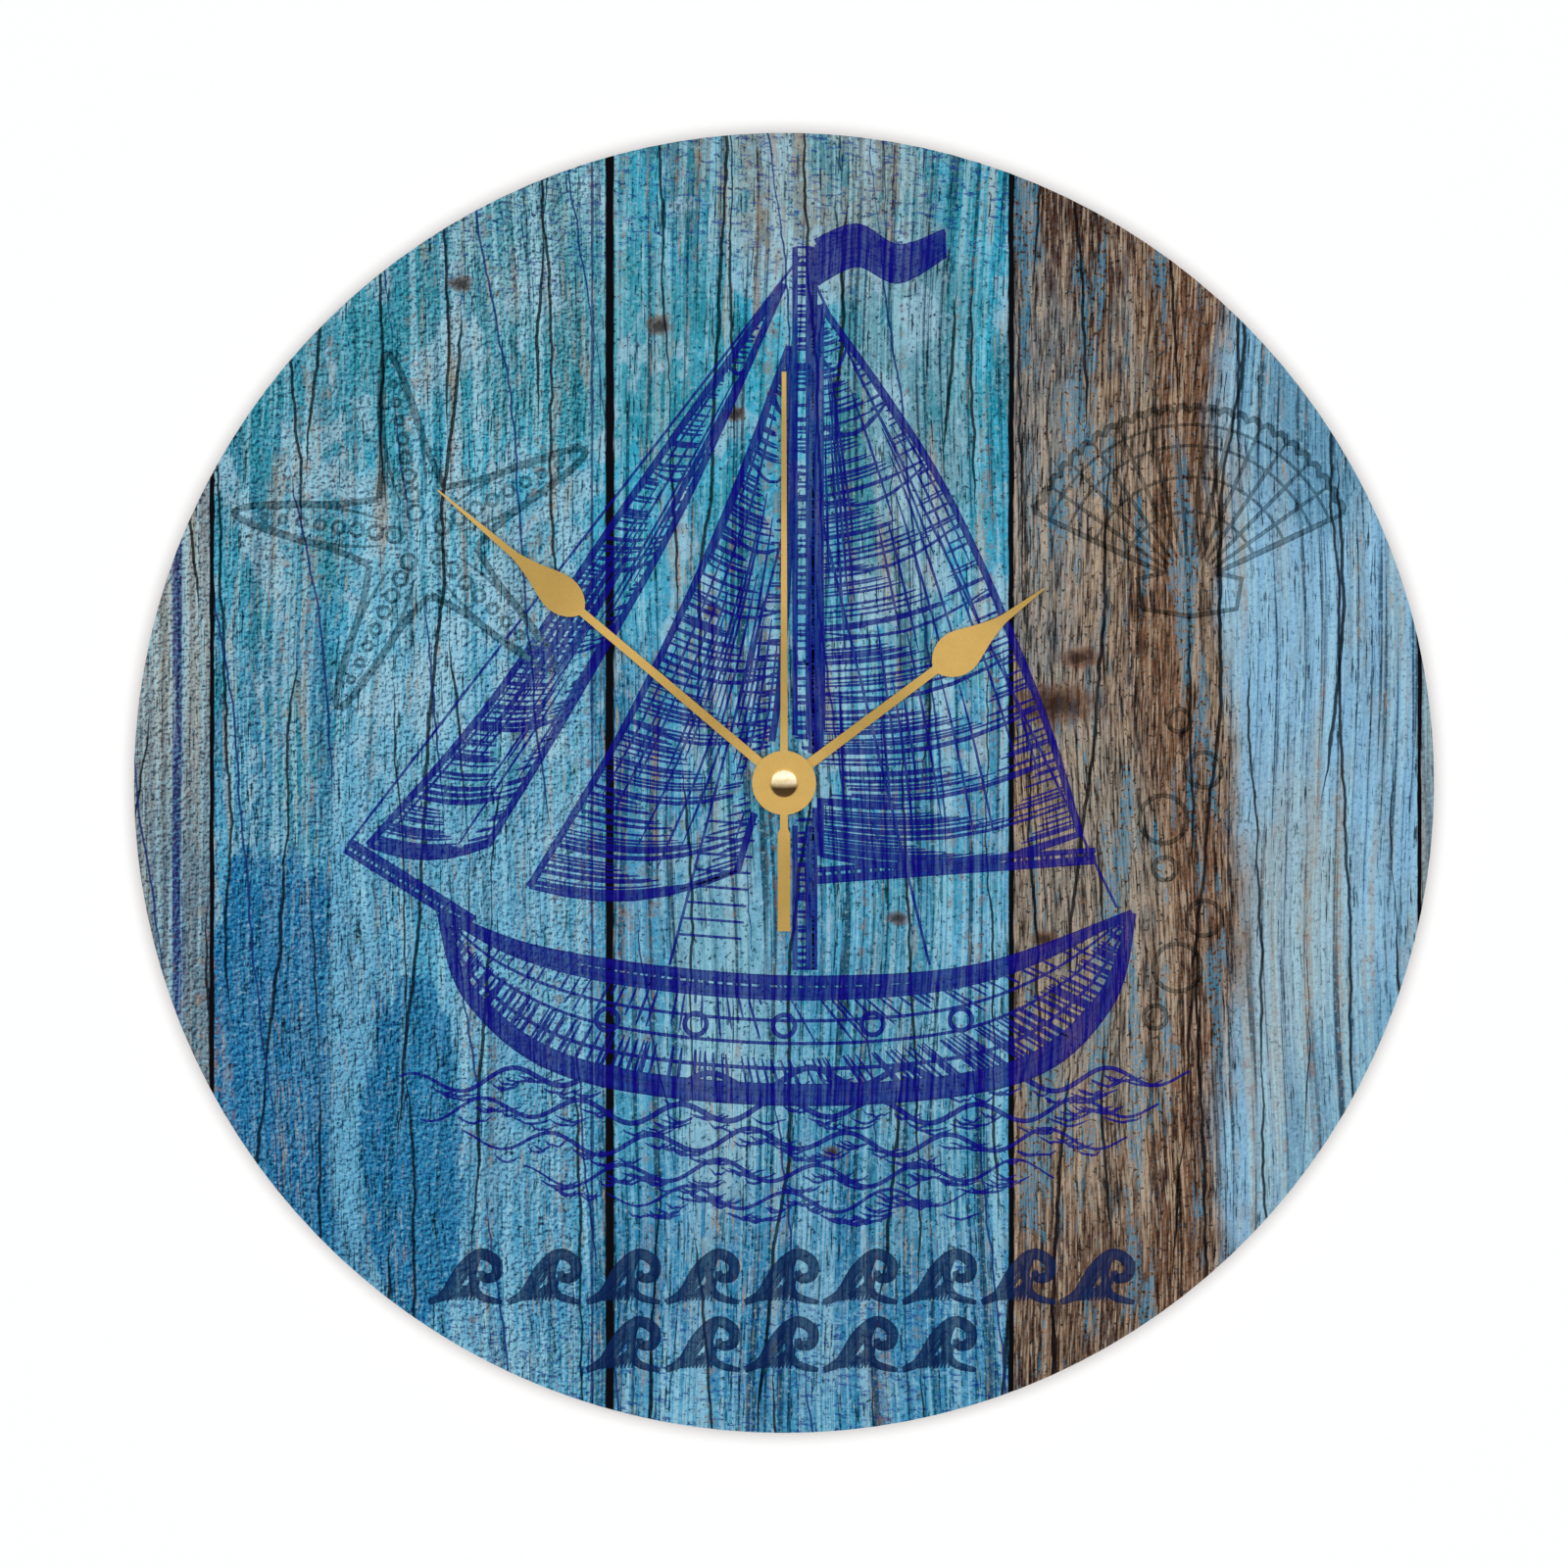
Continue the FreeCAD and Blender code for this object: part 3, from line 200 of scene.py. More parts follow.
# Plain finishes by slot: material, light and dark colour, grain, blotch, speck, roughness, bump and metal;
# a light colour given as a word is one of the metal settings
PLAIN_FINISHES = {
    "black_rubber": ("moulded_rubber", (30, 30, 31), (20, 20, 21), (2.0, 2.0, 2.0),
                     0.2, 0.2, (0.7, 0.85), 0.3, 0.0),
    "brass": ("turned_brass", (214, 178, 104), (180, 140, 72), (0.6, 5.0, 0.6),
              0.3, 0.2, (0.26, 0.4), 0.1, 1.0),
    "zinc_steel": ("zinc_plated_steel", (196, 200, 204), (150, 156, 164), (0.35, 0.35, 2.6),
                   0.12, 0.5, (0.3, 0.5), 0.12, 1.0),
    "black_plastic": ("spark_textured_plastic", "case", (20, 21, 23), (2.6, 2.6, 2.6),
                      0.12, 0.6, (0.42, 0.62), 0.9, 0.0),
    "white_plastic": ("natural_plastic", (226, 224, 214), (206, 203, 190), (2.0, 2.0, 2.0),
                      0.2, 0.0, (0.4, 0.55), 0.15, 0.0),
    "soft_iron": ("stamped_iron", (150, 150, 152), (116, 117, 120), (0.5, 3.0, 3.0),
                  0.2, 0.4, (0.35, 0.5), 0.15, 1.0),
    "black_resin": ("potting_resin", (22, 22, 24), (12, 12, 13), (1.2, 1.2, 1.2),
                    0.6, 0.0, (0.15, 0.3), 0.2, 0.0),
    "nickel_contact": ("nickel_spring_strip", (214, 210, 198), (176, 171, 158), (0.4, 0.4, 4.0),
                       0.2, 0.2, (0.22, 0.36), 0.08, 1.0),
    "magnet": ("sintered_magnet", (84, 84, 88), (58, 58, 62), (3.0, 3.0, 3.0),
               0.4, 0.5, (0.5, 0.65), 0.2, 0.6),
    "gear_plastic": ("moulded_gear_plastic", (230, 226, 208), (204, 198, 176), (1.5, 3.0, 1.5),
                     0.2, 0.0, (0.35, 0.5), 0.12, 0.0),
    "knob_plastic": ("knob_moulding", (44, 45, 48), (26, 27, 29), (3.0, 3.0, 3.0),
                     0.1, 0.3, (0.4, 0.6), 0.3, 0.0),
    "polished_brass": ("polished_cap_brass", "cap", (226, 204, 156), (1.2, 1.2, 1.2),
                       0.3, 0.0, (0.12, 0.15), 0.0, 1.0),
}


def number_choice(name, description, default, **kind):
    """A number that a user can change."""
    return FloatProperty(name=name, description=description, default=default, min=0.0, **kind)


def length_choice(name, description, default):
    """A length in metres that a user can change."""
    return number_choice(name, description, default, unit="LENGTH", subtype="DISTANCE")


def cover_choice(name, description, default):
    """A share from nothing to all that a user can change."""
    return number_choice(name, description, default, max=1.0, subtype="FACTOR")


def colour_choice(name, description, default):
    """A colour that a user can change."""
    return FloatVectorProperty(name=name, description=description, default=default,
                               subtype="COLOR", size=3, min=0.0, max=1.0)


class ClockPrintSettings(bpy.types.PropertyGroup):
    """Colours of the printed boards and of the ink on them"""
    sky: colour_choice("Sky paint", "Main paint of the boards", srgb(72, 156, 192))
    turquoise: colour_choice("Turquoise paint", "Paint at the top of the boards", srgb(46, 170, 200))
    pale: colour_choice("Pale wash", "Smears and the pale right-hand board", srgb(130, 166, 188))
    bare: colour_choice("Bare wood", "Weathered wood without paint", srgb(152, 134, 114))
    band_ink: colour_choice("Band ink", "Ink of the wave band", srgb(12, 34, 78))
    ink: colour_choice("Ink", "Ink of the drawing", srgb(16, 10, 122))
    ink_cover: cover_choice("Ink cover", "How much of the board the ink hides", 0.92)
    ghost_cover: cover_choice("Ghost cover", "How dark the faint drawings are", 0.42)


class ClockMetalSettings(bpy.types.PropertyGroup):
    """Colours of the metal and plastic parts"""
    # The hand gold and its shade are the two ends of painted reflection bands along the hands
    gold: colour_choice("Hand gold", "Satin gold of the hands", srgb(226, 187, 108))
    gold_painted_shade: colour_choice("Hand gold shade", "Darker bands along the hands", srgb(198, 164, 92))
    cap: colour_choice("Cap gold", "Polished cap in the middle", srgb(242, 228, 198))
    case: colour_choice("Case plastic", "Moulded case of the movement", srgb(42, 43, 46))
    sleeve: colour_choice("Cell sleeve", "Printed sleeve of the cell", srgb(30, 34, 40))
    sleeve_band: colour_choice("Cell band", "Copper band of the cell's sleeve", srgb(176, 110, 62))


class ClockSizeSettings(bpy.types.PropertyGroup):
    """Sizes of the pieces that are made here"""
    ink_skin: length_choice("Ink thickness", "Thinnest ink on the print", 0.00003)
    outline: length_choice("Outline width", "Width of the drawing's outlines", 0.00105)
    hatch: length_choice("Hatch width", "Width of the drawing's shading strokes", 0.0005)
    ghost_line: length_choice("Ghost width", "Width of the faint drawings' lines", 0.0013)
    wave_pitch: length_choice("Wave pitch", "Distance between two waves of the band", 0.0152)
    grip_count: IntProperty(name="Knob grips", description="Ribs round the setting knob",
                            default=36, min=8, max=80)
    turns: IntProperty(name="Lathe steps", description="Faces round a turned piece",
                       default=96, min=24, max=192)


class ClockStageSettings(bpy.types.PropertyGroup):
    """Camera, lamps and wall"""
    distance: length_choice("Camera distance", "From the wall to the camera", 6.0)
    view_width: length_choice("View width", "Width of the view at the print", 0.3015)
    front_light: number_choice("Front light", "Strength of the front lamp", 2.75)
    front_spread: number_choice("Front light spread", "Angle of the front lamp", 0.30,
                                subtype="ANGLE", unit="ROTATION")
    rear_light: number_choice("Rear light", "Strength of the lamp behind", 1.9)
    room_light: number_choice("Room light", "Light from all round", 0.12)


def choices(group):
    """The values of one group of settings: print, metal, sizes or stage."""
    return getattr(bpy.context.scene, "wall_clock_" + group)


class Value:
    """A socket that plain sums can be written with."""

    def __init__(self, nodes, socket):
        self.nodes = nodes
        self.socket = socket

    def math(self, operation, *others):
        return self.nodes.value("ShaderNodeMath", dict(enumerate((self, *others))), operation=operation)

    def vector(self, operation, other):
        return self.nodes.value("ShaderNodeVectorMath", {0: self, 1: other}, operation=operation)

    def scaled(self, scale):
        return self.nodes.value("ShaderNodeVectorMath", {0: self, "Scale": scale}, operation="SCALE")

    def length(self):
        return self.nodes.value("ShaderNodeVectorMath", {0: self}, "Value", operation="LENGTH")

    def split(self):
        return self.nodes.values("ShaderNodeSeparateXYZ", {0: self}).values()

    def ramp(self, low, high, start=0.0, end=1.0, smooth=True):
        """Start up to the low value, end from the high one and a slope between."""
        inputs = {"Value": self, "From Min": low, "From Max": high, "To Min": start, "To Max": end}
        slope = "SMOOTHSTEP" if smooth else "LINEAR"
        return self.nodes.value("ShaderNodeMapRange", inputs, interpolation_type=slope)

    def swing(self, size):
        """Noise from 0 to 1 laid round zero."""
        return (self - 0.5) * size

    def most(self, *others):
        """The greatest of this value and the others."""
        result = self
        for other in others:
            result = result.math("MAXIMUM", other)
        return result

    def __add__(self, other):
        return self.math("ADD", other)

    __radd__ = __add__

    def __sub__(self, other):
        return self.math("SUBTRACT", other)

    def __rsub__(self, other):
        return self.nodes.value("ShaderNodeMath", {0: other, 1: self}, operation="SUBTRACT")

    def __mul__(self, other):
        return self.math("MULTIPLY", other)

    def __truediv__(self, other):
        return self.math("DIVIDE", other)

    def __gt__(self, other):
        return self.math("GREATER_THAN", other)

    def __lt__(self, other):
        return self.math("LESS_THAN", other)

    def __abs__(self):
        return self.math("ABSOLUTE")


class Nodes:
    """Short calls that add nodes to one tree."""

    def __init__(self, tree):
        self.tree = tree

    def add(self, kind, inputs=None, **settings):
        node = self.tree.nodes.new(kind)
        for name, value in settings.items():
            setattr(node, name, value)
        for name, value in (inputs or {}).items():
            self.feed(node.inputs[name], value)
        return node

    def feed(self, socket, value):
        if isinstance(value, Value):
            self.tree.links.new(value.socket, socket)
        elif socket.type == "RGBA" and len(value) == 3:
            socket.default_value = (*value, 1.0)
        else:
            socket.default_value = value

    def value(self, kind, inputs=None, output=0, **settings):
        """One output of a new node."""
        return Value(self, self.add(kind, inputs, **settings).outputs[output])

    def values(self, kind, inputs=None, **settings):
        """All outputs of a new node, by name."""
        return {socket.name: Value(self, socket) for socket in self.add(kind, inputs, **settings).outputs}

    def combine(self, x, y, z):
        return self.value("ShaderNodeCombineXYZ", {"X": x, "Y": y, "Z": z})

    def noise(self, vector, scale=1.0, detail=2.0, rough=0.5, distortion=0.0):
        return self.value("ShaderNodeTexNoise", {"Vector": vector, "Scale": scale, "Detail": detail,
                                                 "Roughness": rough, "Distortion": distortion})

    def blend(self, share, under, over, kind="MIX"):
        inputs = {0: share, 6: under, 7: over}
        return self.value("ShaderNodeMix", inputs, 2, data_type="RGBA", blend_type=kind)

    def place(self, centre=None):
        """Millimetres from the object's origin, or from a centre."""
        spot = self.value("ShaderNodeTexCoord", output="Object")
        if centre is not None:
            spot = spot.vector("SUBTRACT", tuple(centre))
        return spot.scaled(1 / MM)

    def group(self, name, maker, inputs):
        """A shared group with values of its own, by output name."""
        return self.values("ShaderNodeGroup", inputs, node_tree=shared_group(name, maker))


SOCKETS = {"number": "NodeSocketFloat", "count": "NodeSocketInt", "vector": "NodeSocketVector",
           "colour": "NodeSocketColor", "shape": "NodeSocketGeometry", "material": "NodeSocketMaterial"}


def new_group(name, kind, inputs, outputs):
    """A node group with its named sockets: gives its nodes and its inputs by name."""
    tree = bpy.data.node_groups.new(name, kind)
    for label, socket in inputs.items():
        tree.interface.new_socket(label, in_out="INPUT", socket_type=SOCKETS[socket])
    for label, socket in outputs.items():
        tree.interface.new_socket(label, in_out="OUTPUT", socket_type=SOCKETS[socket])
    nodes = Nodes(tree)
    return nodes, nodes.values("NodeGroupInput")


def shared_group(name, maker):
    """The shared group, built at its first use."""
    return bpy.data.node_groups.get(name) or maker()


def worked_surface_group():
    """Two colours mixed by stretched grain, blotches and specks, for every plain material."""
    nodes, given = new_group(
        "worked_surface", "ShaderNodeTree",
        {"Light": "colour", "Dark": "colour", "Grain": "vector", "Blotch": "number", "Speck": "number",
         "Rough Low": "number", "Rough High": "number"},
        {"Colour": "colour", "Roughness": "number", "Height": "number"})
    place = nodes.place()
    grain = nodes.noise(place.vector("MULTIPLY", given["Grain"]), 1.0, 3.0, 0.6)
    blotch = nodes.noise(place, given["Blotch"])
    speck = nodes.noise(place, 3.1, 1.0).ramp(0.60, 0.68)
    share = grain.ramp(0.3, 0.7, 0.0, 0.6) + blotch.ramp(0.3, 0.7, 0.0, 0.4)
    share = share.most(speck * given["Speck"])
    rough = share * (given["Rough High"] - given["Rough Low"]) + given["Rough Low"]
    colour = nodes.blend(share, given["Light"], given["Dark"])
    nodes.add("NodeGroupOutput", {"Colour": colour, "Roughness": rough, "Height": grain})
    return nodes.tree


def painted_boards_group():
    """Weathered painted boards under a coat of ink, laid out in millimetres from the dial's centre."""
    choice = choices("print")
    nodes, given = new_group(
        "painted_boards", "ShaderNodeTree",
        {"Ink": "colour", "Cover": "number", "Bite": "number", "See Through": "number"},
        {"Colour": "colour", "Roughness": "number", "Height": "number"})
    place = nodes.place(DIAL_CENTRE)
    x, _, z = place.split()
    offset = sum(x > seam for seam, _ in BOARD_SEAMS) * BOARD_SHIFT
    left_seam, _, wood_seam, right_seam = (seam for seam, _ in BOARD_SEAMS)

    def field(across, along, detail, rough=0.6, shift=0.0, warp=0.0):
        """Noise stretched up the boards, in cycles to the millimetre."""
        return nodes.noise(nodes.combine((x + warp) * across, offset + shift, z * along), 1.0, detail, rough)

    sway = field(0.02, 0.010, 1.0, shift=5.0).swing(9.0)
    fine = field(0.85, 0.011, 3.0, 0.62, 2.0, sway)
    coarse = field(0.22, 0.008, 3.0, 0.6, 1.0, sway)
    smear = field(0.16, 0.022, 4.0, 0.68, 3.0, sway)
    patch = field(0.045, 0.022, 4.0, 0.64, 4.0)
    thread = field(2.4, 0.16, 2.0, 0.6, 7.0, sway)
    lobes = field(0.11, 0.06, 3.0, 0.66, 11.0)
    streaks = field(0.30, 0.02, 3.0, 0.7, 13.0, sway)
    speckle = nodes.noise(place.scaled(1.15), 1.0, 2.0, 0.75)
    mottle = nodes.noise(place.scaled(0.42), 1.0, 3.0, 0.7)
    dashes = nodes.noise(nodes.combine((x + z) * 0.34, 0.0, z * 1.1), 1.0, 3.0, 0.75)

    def lay(colour, *coats):
        """Coats over a colour, each with its mask, paint and strength."""
        for mask, paint, strength in coats:
            over = PAINTS[paint] if isinstance(paint, str) else paint
            colour = nodes.blend(mask * strength, colour, over)
        return colour

    def from_oval(cx, cz, rx, rz):
        """Distance from the middle of an oval, one on its rim."""
        return place.vector("SUBTRACT", (cx, 0.0, cz)).vector("MULTIPLY", (1 / rx, 0.0, 1 / rz)).length()

    def ragged_spot(middle, reach, ragged, soft):
        """One inside a ragged oval and nothing outside."""
        rim = from_oval(*middle, *reach) + patch.swing(ragged)
        rim = rim + (smear.swing(ragged * 0.8) + mottle.swing(0.5))
        return rim.ramp(1.0 - soft / 2, 1.0 + soft / 2, 1.0, 0.0)

    def patches(table):
        return [(ragged_spot(*shape), srgb(*tint), strength) for *shape, tint, strength in table]

    # Large patches of paint, and smaller lobes and dry streaks towards the top
    top = (z + patch.swing(90.0)).ramp(6.0, 70.0)
    upper = (z + patch.swing(60.0)).ramp(-30.0, 10.0, 0.25, 1.0)
    colour = lay(
        nodes.blend(smear.ramp(0.35, 0.65), tuple(choice.sky), PAINTS["deep_sky"]),
        (patch.ramp(0.42, 0.68), "light_sky", 0.6),
        (top, tuple(choice.turquoise), 0.85),
        (top * smear.ramp(0.50, 0.62), "green_smear", 0.75),
        *patches(LEFT_PATCHES),
        (mottle.ramp(0.50, 0.62), "blot", 0.35),
        (mottle.ramp(0.48, 0.36), "pale_blot", 0.35),
        (upper * lobes.ramp(0.55, 0.60), "lobe", 0.62),
        (upper * lobes.ramp(0.46, 0.40), "pale_lobe", 0.62),
        (upper * streaks.ramp(0.58, 0.66), "dry_streak", 0.60),
        *patches(DEEP_PATCHES))
    deep = ragged_spot(*DEEP_PATCHES[0][:4]).most(ragged_spot(*DEEP_PATCHES[2][:4]))

    # The half bare board on the right, with its heartwood and a pale wash along its edge
    heart = abs(x + (z * 0.052).math("SINE") * 4.0 + sway - HEARTWOOD) + patch.swing(9.0)
    wood = lay(
        nodes.blend(smear.ramp(0.38, 0.62), tuple(choice.bare), PAINTS["brown_wood"]),
        (smear.ramp(0.54, 0.64), "blue_wood", 0.6),
        *patches(WOOD_PATCHES),
        (heart.ramp(2.5, 8.5, 1.0, 0.0), "heartwood", 0.85),
        ((heart * 2.6).math("SINE").ramp(0.55, 0.95), "year_ring", 0.65))
    wash = lay(
        nodes.blend(smear.ramp(0.40, 0.62), PAINTS["wash"], tuple(choice.pale)),
        (coarse.ramp(0.54, 0.64), "chalk", 0.55),
        *patches(WASH_PATCHES))
    washed = (x + patch.swing(30.0)).ramp(82.0, 90.0)
    right = nodes.blend(washed, wood, wash)
    colour = nodes.blend(x.ramp(wood_seam - 0.1, wood_seam + 0.1), colour, right)

    # The slivers of board at both edges
    sliver = x.ramp(left_seam - 0.2, left_seam + 0.2, 1.0, 0.0)
    sliver = sliver.most(x.ramp(right_seam - 0.2, right_seam + 0.2))
    stain = abs(x - BLUE_STAIN) + smear.swing(2.4)
    edge = lay(
        nodes.blend(coarse.ramp(0.40, 0.60), PAINTS["grey_edge"], PAINTS["blue_edge"]),
        (stain.ramp(0.6, 1.5, 1.0, 0.0), "stain", 0.85))
    colour = nodes.blend(sliver, colour, edge)

    # Grain: pale and dark threads, bare streaks, flecks of paint and dark pores
    bare = x.ramp(43.0, 44.0) * (1.0 - washed)
    pale = nodes.blend(bare, PAINTS["paint_thread"], PAINTS["wood_thread"])
    pore = nodes.blend(bare, PAINTS["paint_pore"], PAINTS["wood_pore"])
    painted = 1.0 - x.ramp(-45.0, -25.0, 0.45, 0.0)
    calm = deep * -0.7 + patch.ramp(0.38, 0.54, 0.4, 1.0)
    rim = (abs(z) + patch.swing(70.0)).ramp(86.0, 108.0) * x.ramp(43.0, 43.6, 1.0, 0.0)
    colour = lay(
        colour,
        (fine.ramp(0.52, 0.60) * calm, pale, 0.50),
        (fine.ramp(0.46, 0.37) * painted, pore, 0.80),
        (thread.ramp(0.55, 0.66) * smear.ramp(0.46, 0.6), "dry_thread", 0.65),
        (thread.ramp(0.43, 0.34) * coarse.ramp(0.62, 0.48), "ink_thread", 0.88),
        (thread.ramp(0.53, 0.63) * bare, "straw", 0.45),
        (thread.ramp(0.47, 0.37) * bare, "wood_split", 0.80),
        (smear.ramp(0.47, 0.42) * speckle.ramp(0.40, 0.52) * bare, "flake", 0.62),
        (speckle.ramp(0.56, 0.68) * (bare * -0.3 + 0.34), pale, 1.0),
        (speckle.ramp(0.43, 0.32) * (washed * -0.45 + 1.0), pore, 0.86),
        (rim * dashes.ramp(0.54, 0.62), "navy_dash", 0.7))

    # Relief: the surface lit from one side, with short creases across it
    weave = x.ramp(-40.0, -32.0, 1.0, 0.2)
    lit = nodes.noise(place.scaled(1.25), 1.0, 2.0, 0.7)
    beside = place.vector("ADD", (0.3, 0.0, -0.34)).scaled(1.25)
    broken = nodes.noise(nodes.combine(x * 0.16, 0.0, z * 0.4), 1.0, 2.0)
    crease = ((z + mottle.swing(3.2)) / 6.1).math("FRACT").ramp(0.0, 0.09, 0.16, 0.0)
    relief = lit - nodes.noise(beside, 1.0, 2.0, 0.7) + crease * broken.ramp(0.46, 0.56)
    colour = nodes.blend(weave * relief.ramp(0.03, 0.16) * 0.60, colour, PAINTS["raised"], "SCREEN")
    colour = nodes.blend(weave * relief.ramp(-0.03, -0.16) * 0.75, colour, PAINTS["sunken"], "MULTIPLY")

    # Rust, and knots with dark hearts
    knots = [(from_oval(*knot) + mottle.swing(2.4)).ramp(0.3, 2.3, 1.0, 0.0) for knot in KNOTS]
    knots = knots[0].most(*knots[1:])
    colour = lay(
        colour,
        (coarse.ramp(0.56, 0.64) * mottle.ramp(0.5, 0.6), "rust", 0.4),
        (knots.ramp(0.0, 0.6), "knot", 0.62),
        (knots.ramp(0.5, 1.1), "knot_heart", 0.80))

    # Cracks that wander up the boards, each in a lane of its own
    for spacing, slant, swing, half, seed, tint, paint_only in CRACKS:
        leaning = z * slant + x + offset
        lane = (leaning / spacing).math("FLOOR")
        number = lane + seed
        chance = nodes.value("ShaderNodeTexWhiteNoise", {"W": number}, noise_dimensions="1D")
        bend, kink, shown = (nodes.noise(nodes.combine(number * 7.31, row, z * upward), 1.0, detail)
                             for row, upward, detail in CRACK_NOISES)
        line = (lane + 0.5 + chance.swing(0.4)) * spacing + bend.swing(swing * 2) + kink.swing(1.5)
        cut = (abs(leaning - line) - shown.ramp(0.42, 0.56, 0.0, half)).ramp(-0.08, 0.10, 1.0, 0.0)
        if paint_only:
            cut = cut * (x < wood_seam)
        colour = lay(colour, (cut * shown.ramp(0.41, 0.44), srgb(*tint), 0.9))

    # Seams between the boards
    torn = x + thread.swing(0.7)
    seams = [abs(torn - seam).ramp(half * 0.85, half * 1.25, 1.0, 0.0) for seam, half in BOARD_SEAMS]
    colour = lay(
        colour,
        (abs(torn - ARRIS).ramp(0.12, 0.42, 1.0, 0.0), "arris", 0.8),
        (seams[0].most(*seams[1:]), "seam", 1.0))

    # Ink takes less where the grain is high
    grain = fine * 0.6 + thread * 0.4
    share = grain.ramp(0.36, 0.62, 0.10, -0.16, smooth=False) * given["Bite"] + given["Cover"]
    glazed = nodes.blend(1.0, colour, given["Ink"], "MULTIPLY")
    colour = nodes.blend(share, colour, nodes.blend(given["See Through"], given["Ink"], glazed))
    rough = grain.ramp(0.3, 0.7, 0.52, 0.42, smooth=False)
    nodes.add("NodeGroupOutput", {"Colour": colour, "Roughness": rough, "Height": grain})
    return nodes.tree


def new_material(name):
    """The nodes of a new material."""
    material = bpy.data.materials.new(name)
    material.use_nodes = True
    nodes = Nodes(material.node_tree)
    nodes.material = material
    return nodes


def finish(nodes, surface, bump, **fixed):
    """Ends a material in its shader, with plain numbers set on the shader's own sockets."""
    shader = nodes.tree.nodes["Principled BSDF"]
    nodes.feed(shader.inputs["Base Color"], surface["Colour"])
    nodes.feed(shader.inputs["Roughness"], surface["Roughness"])
    if bump:
        relief = nodes.value("ShaderNodeBump", {"Height": surface["Height"], "Strength": bump,
                                                "Distance": BUMP_DEPTH})
        nodes.feed(shader.inputs["Normal"], relief)
    for socket, value in fixed.items():
        shader.inputs[socket.replace("_", " ")].default_value = value
    return nodes.material


def worked(nodes, light, dark, grain, blotch, speck, rough):
    """The worked surface placed in a material with its own values."""
    return nodes.group("worked_surface", worked_surface_group,
                       {"Light": light, "Dark": dark, "Grain": grain, "Blotch": blotch, "Speck": speck,
                        "Rough Low": rough[0], "Rough High": rough[1]})


def plain_material(name, light, dark, grain, blotch, speck, rough, bump, metal):
    """A material of the worked surface alone."""
    nodes = new_material(name)
    light = tuple(getattr(choices("metal"), light)) if isinstance(light, str) else srgb(*light)
    surface = worked(nodes, light, srgb(*dark), grain, blotch, speck, rough)
    return finish(nodes, surface, bump, Metallic=metal)


def print_material(name, ink=WHITE, cover=0.0, bite=0.0, see_through=0.0):
    """The printed boards, alone or under ink."""
    nodes = new_material(name)
    surface = nodes.group("painted_boards", painted_boards_group,
                          {"Ink": tuple(ink), "Cover": cover, "Bite": bite, "See Through": see_through})
    return finish(nodes, surface, 0.12, Specular_IOR_Level=PRINT_GLOSS)


def gold_material():
    """Satin gold with painted reflection: lighter and darker bands along each hand, painted in for the room
    mirrored in the metal.
    """
    choice = choices("metal")
    nodes = new_material("satin_gold_hands")
    surface = worked(nodes, WHITE, (0.9, 0.9, 0.9), (2.6, 2.6, 2.6), 0.3, 0.0, (0.34, 0.42))
    away = nodes.place(DIAL_CENTRE).vector("MULTIPLY", (1.0, 0.0, 1.0)).length()
    # Painted reflection: a sine along each hand, light where the metal would mirror the bright room and
    # darker where it would not
    wave = (away * 0.15 - 1.58).math("SINE")
    gold = nodes.blend(wave.ramp(-1.0, 1.0), tuple(choice.gold), tuple(choice.gold_painted_shade))
    surface["Colour"] = nodes.blend(1.0, gold, surface["Colour"], "MULTIPLY")
    return finish(nodes, surface, 0.03, Metallic=1.0)


def sleeve_material():
    """The cell's printed sleeve: dark, with a copper band by the plus end and bare metal at both ends."""
    choice = choices("metal")
    nodes = new_material("cell_sleeve_print")
    low, high = corners("battery_can")
    middle = (low + high) / 2
    half = (high.x - low.x) / 2 / MM
    surface = worked(nodes, WHITE, (0.86, 0.86, 0.86), (0.2, 3.0, 3.0), 0.2, 0.0, (0.24, 0.34))
    across, deep, up = nodes.place(middle).split()

    def beyond(place):
        return across.ramp(place - SLEEVE_BLUR, place + SLEEVE_BLUR)

    metal = beyond(half - PLUS_END).most(1.0 - beyond(MINUS_END - half))
    colour = nodes.blend(beyond(half - COPPER_LENGTH), tuple(choice.sleeve), tuple(choice.sleeve_band))
    colour = nodes.blend(metal, colour, srgb(196, 198, 200))
    for place, long, tall in SLEEVE_BARS:
        bar = (abs(up) < tall) * (deep > 0.0) * (abs(across - place) < long)
        colour = nodes.blend(bar, colour, srgb(226, 226, 222))
    surface["Colour"] = nodes.blend(1.0, colour, surface["Colour"], "MULTIPLY")
    return finish(nodes, surface, 0.05, Coat_Weight=0.3, Coat_Roughness=0.2)


def board_back_material():
    """Pressed fibreboard: brown, speckled with fibres."""
    nodes = new_material("pressed_fibreboard")
    surface = worked(nodes, srgb(150, 112, 78), srgb(106, 74, 48), (1.2, 2.0, 1.2), 0.55, 0.8, (0.7, 0.85))
    fibre = nodes.noise(nodes.place().vector("MULTIPLY", (0.7, 4.0, 2.6)), 1.0, 3.0, 0.7, 1.2)
    surface["Colour"] = nodes.blend(fibre.ramp(0.56, 0.66) * 0.5, surface["Colour"], srgb(186, 150, 112))
    return finish(nodes, surface, 0.3)


def winding_material():
    """Enamelled wire laid side by side along the bobbin, with painted shade in the grooves between turns and
    a painted highlight on their crowns.
    """
    nodes = new_material("wound_copper")
    x, _, _ = nodes.place().split()
    turn = abs((x * (math.pi / WIRE_WIDTH)).math("SINE"))
    # Painted shade where two turns meet and painted highlight on each crown, over the same bump
    surface = {"Colour": nodes.blend(turn, srgb(96, 44, 22), srgb(206, 118, 70)),
               "Roughness": turn.ramp(0.0, 1.0, 0.5, 0.28), "Height": turn}
    return finish(nodes, surface, 0.5, Metallic=0.9)


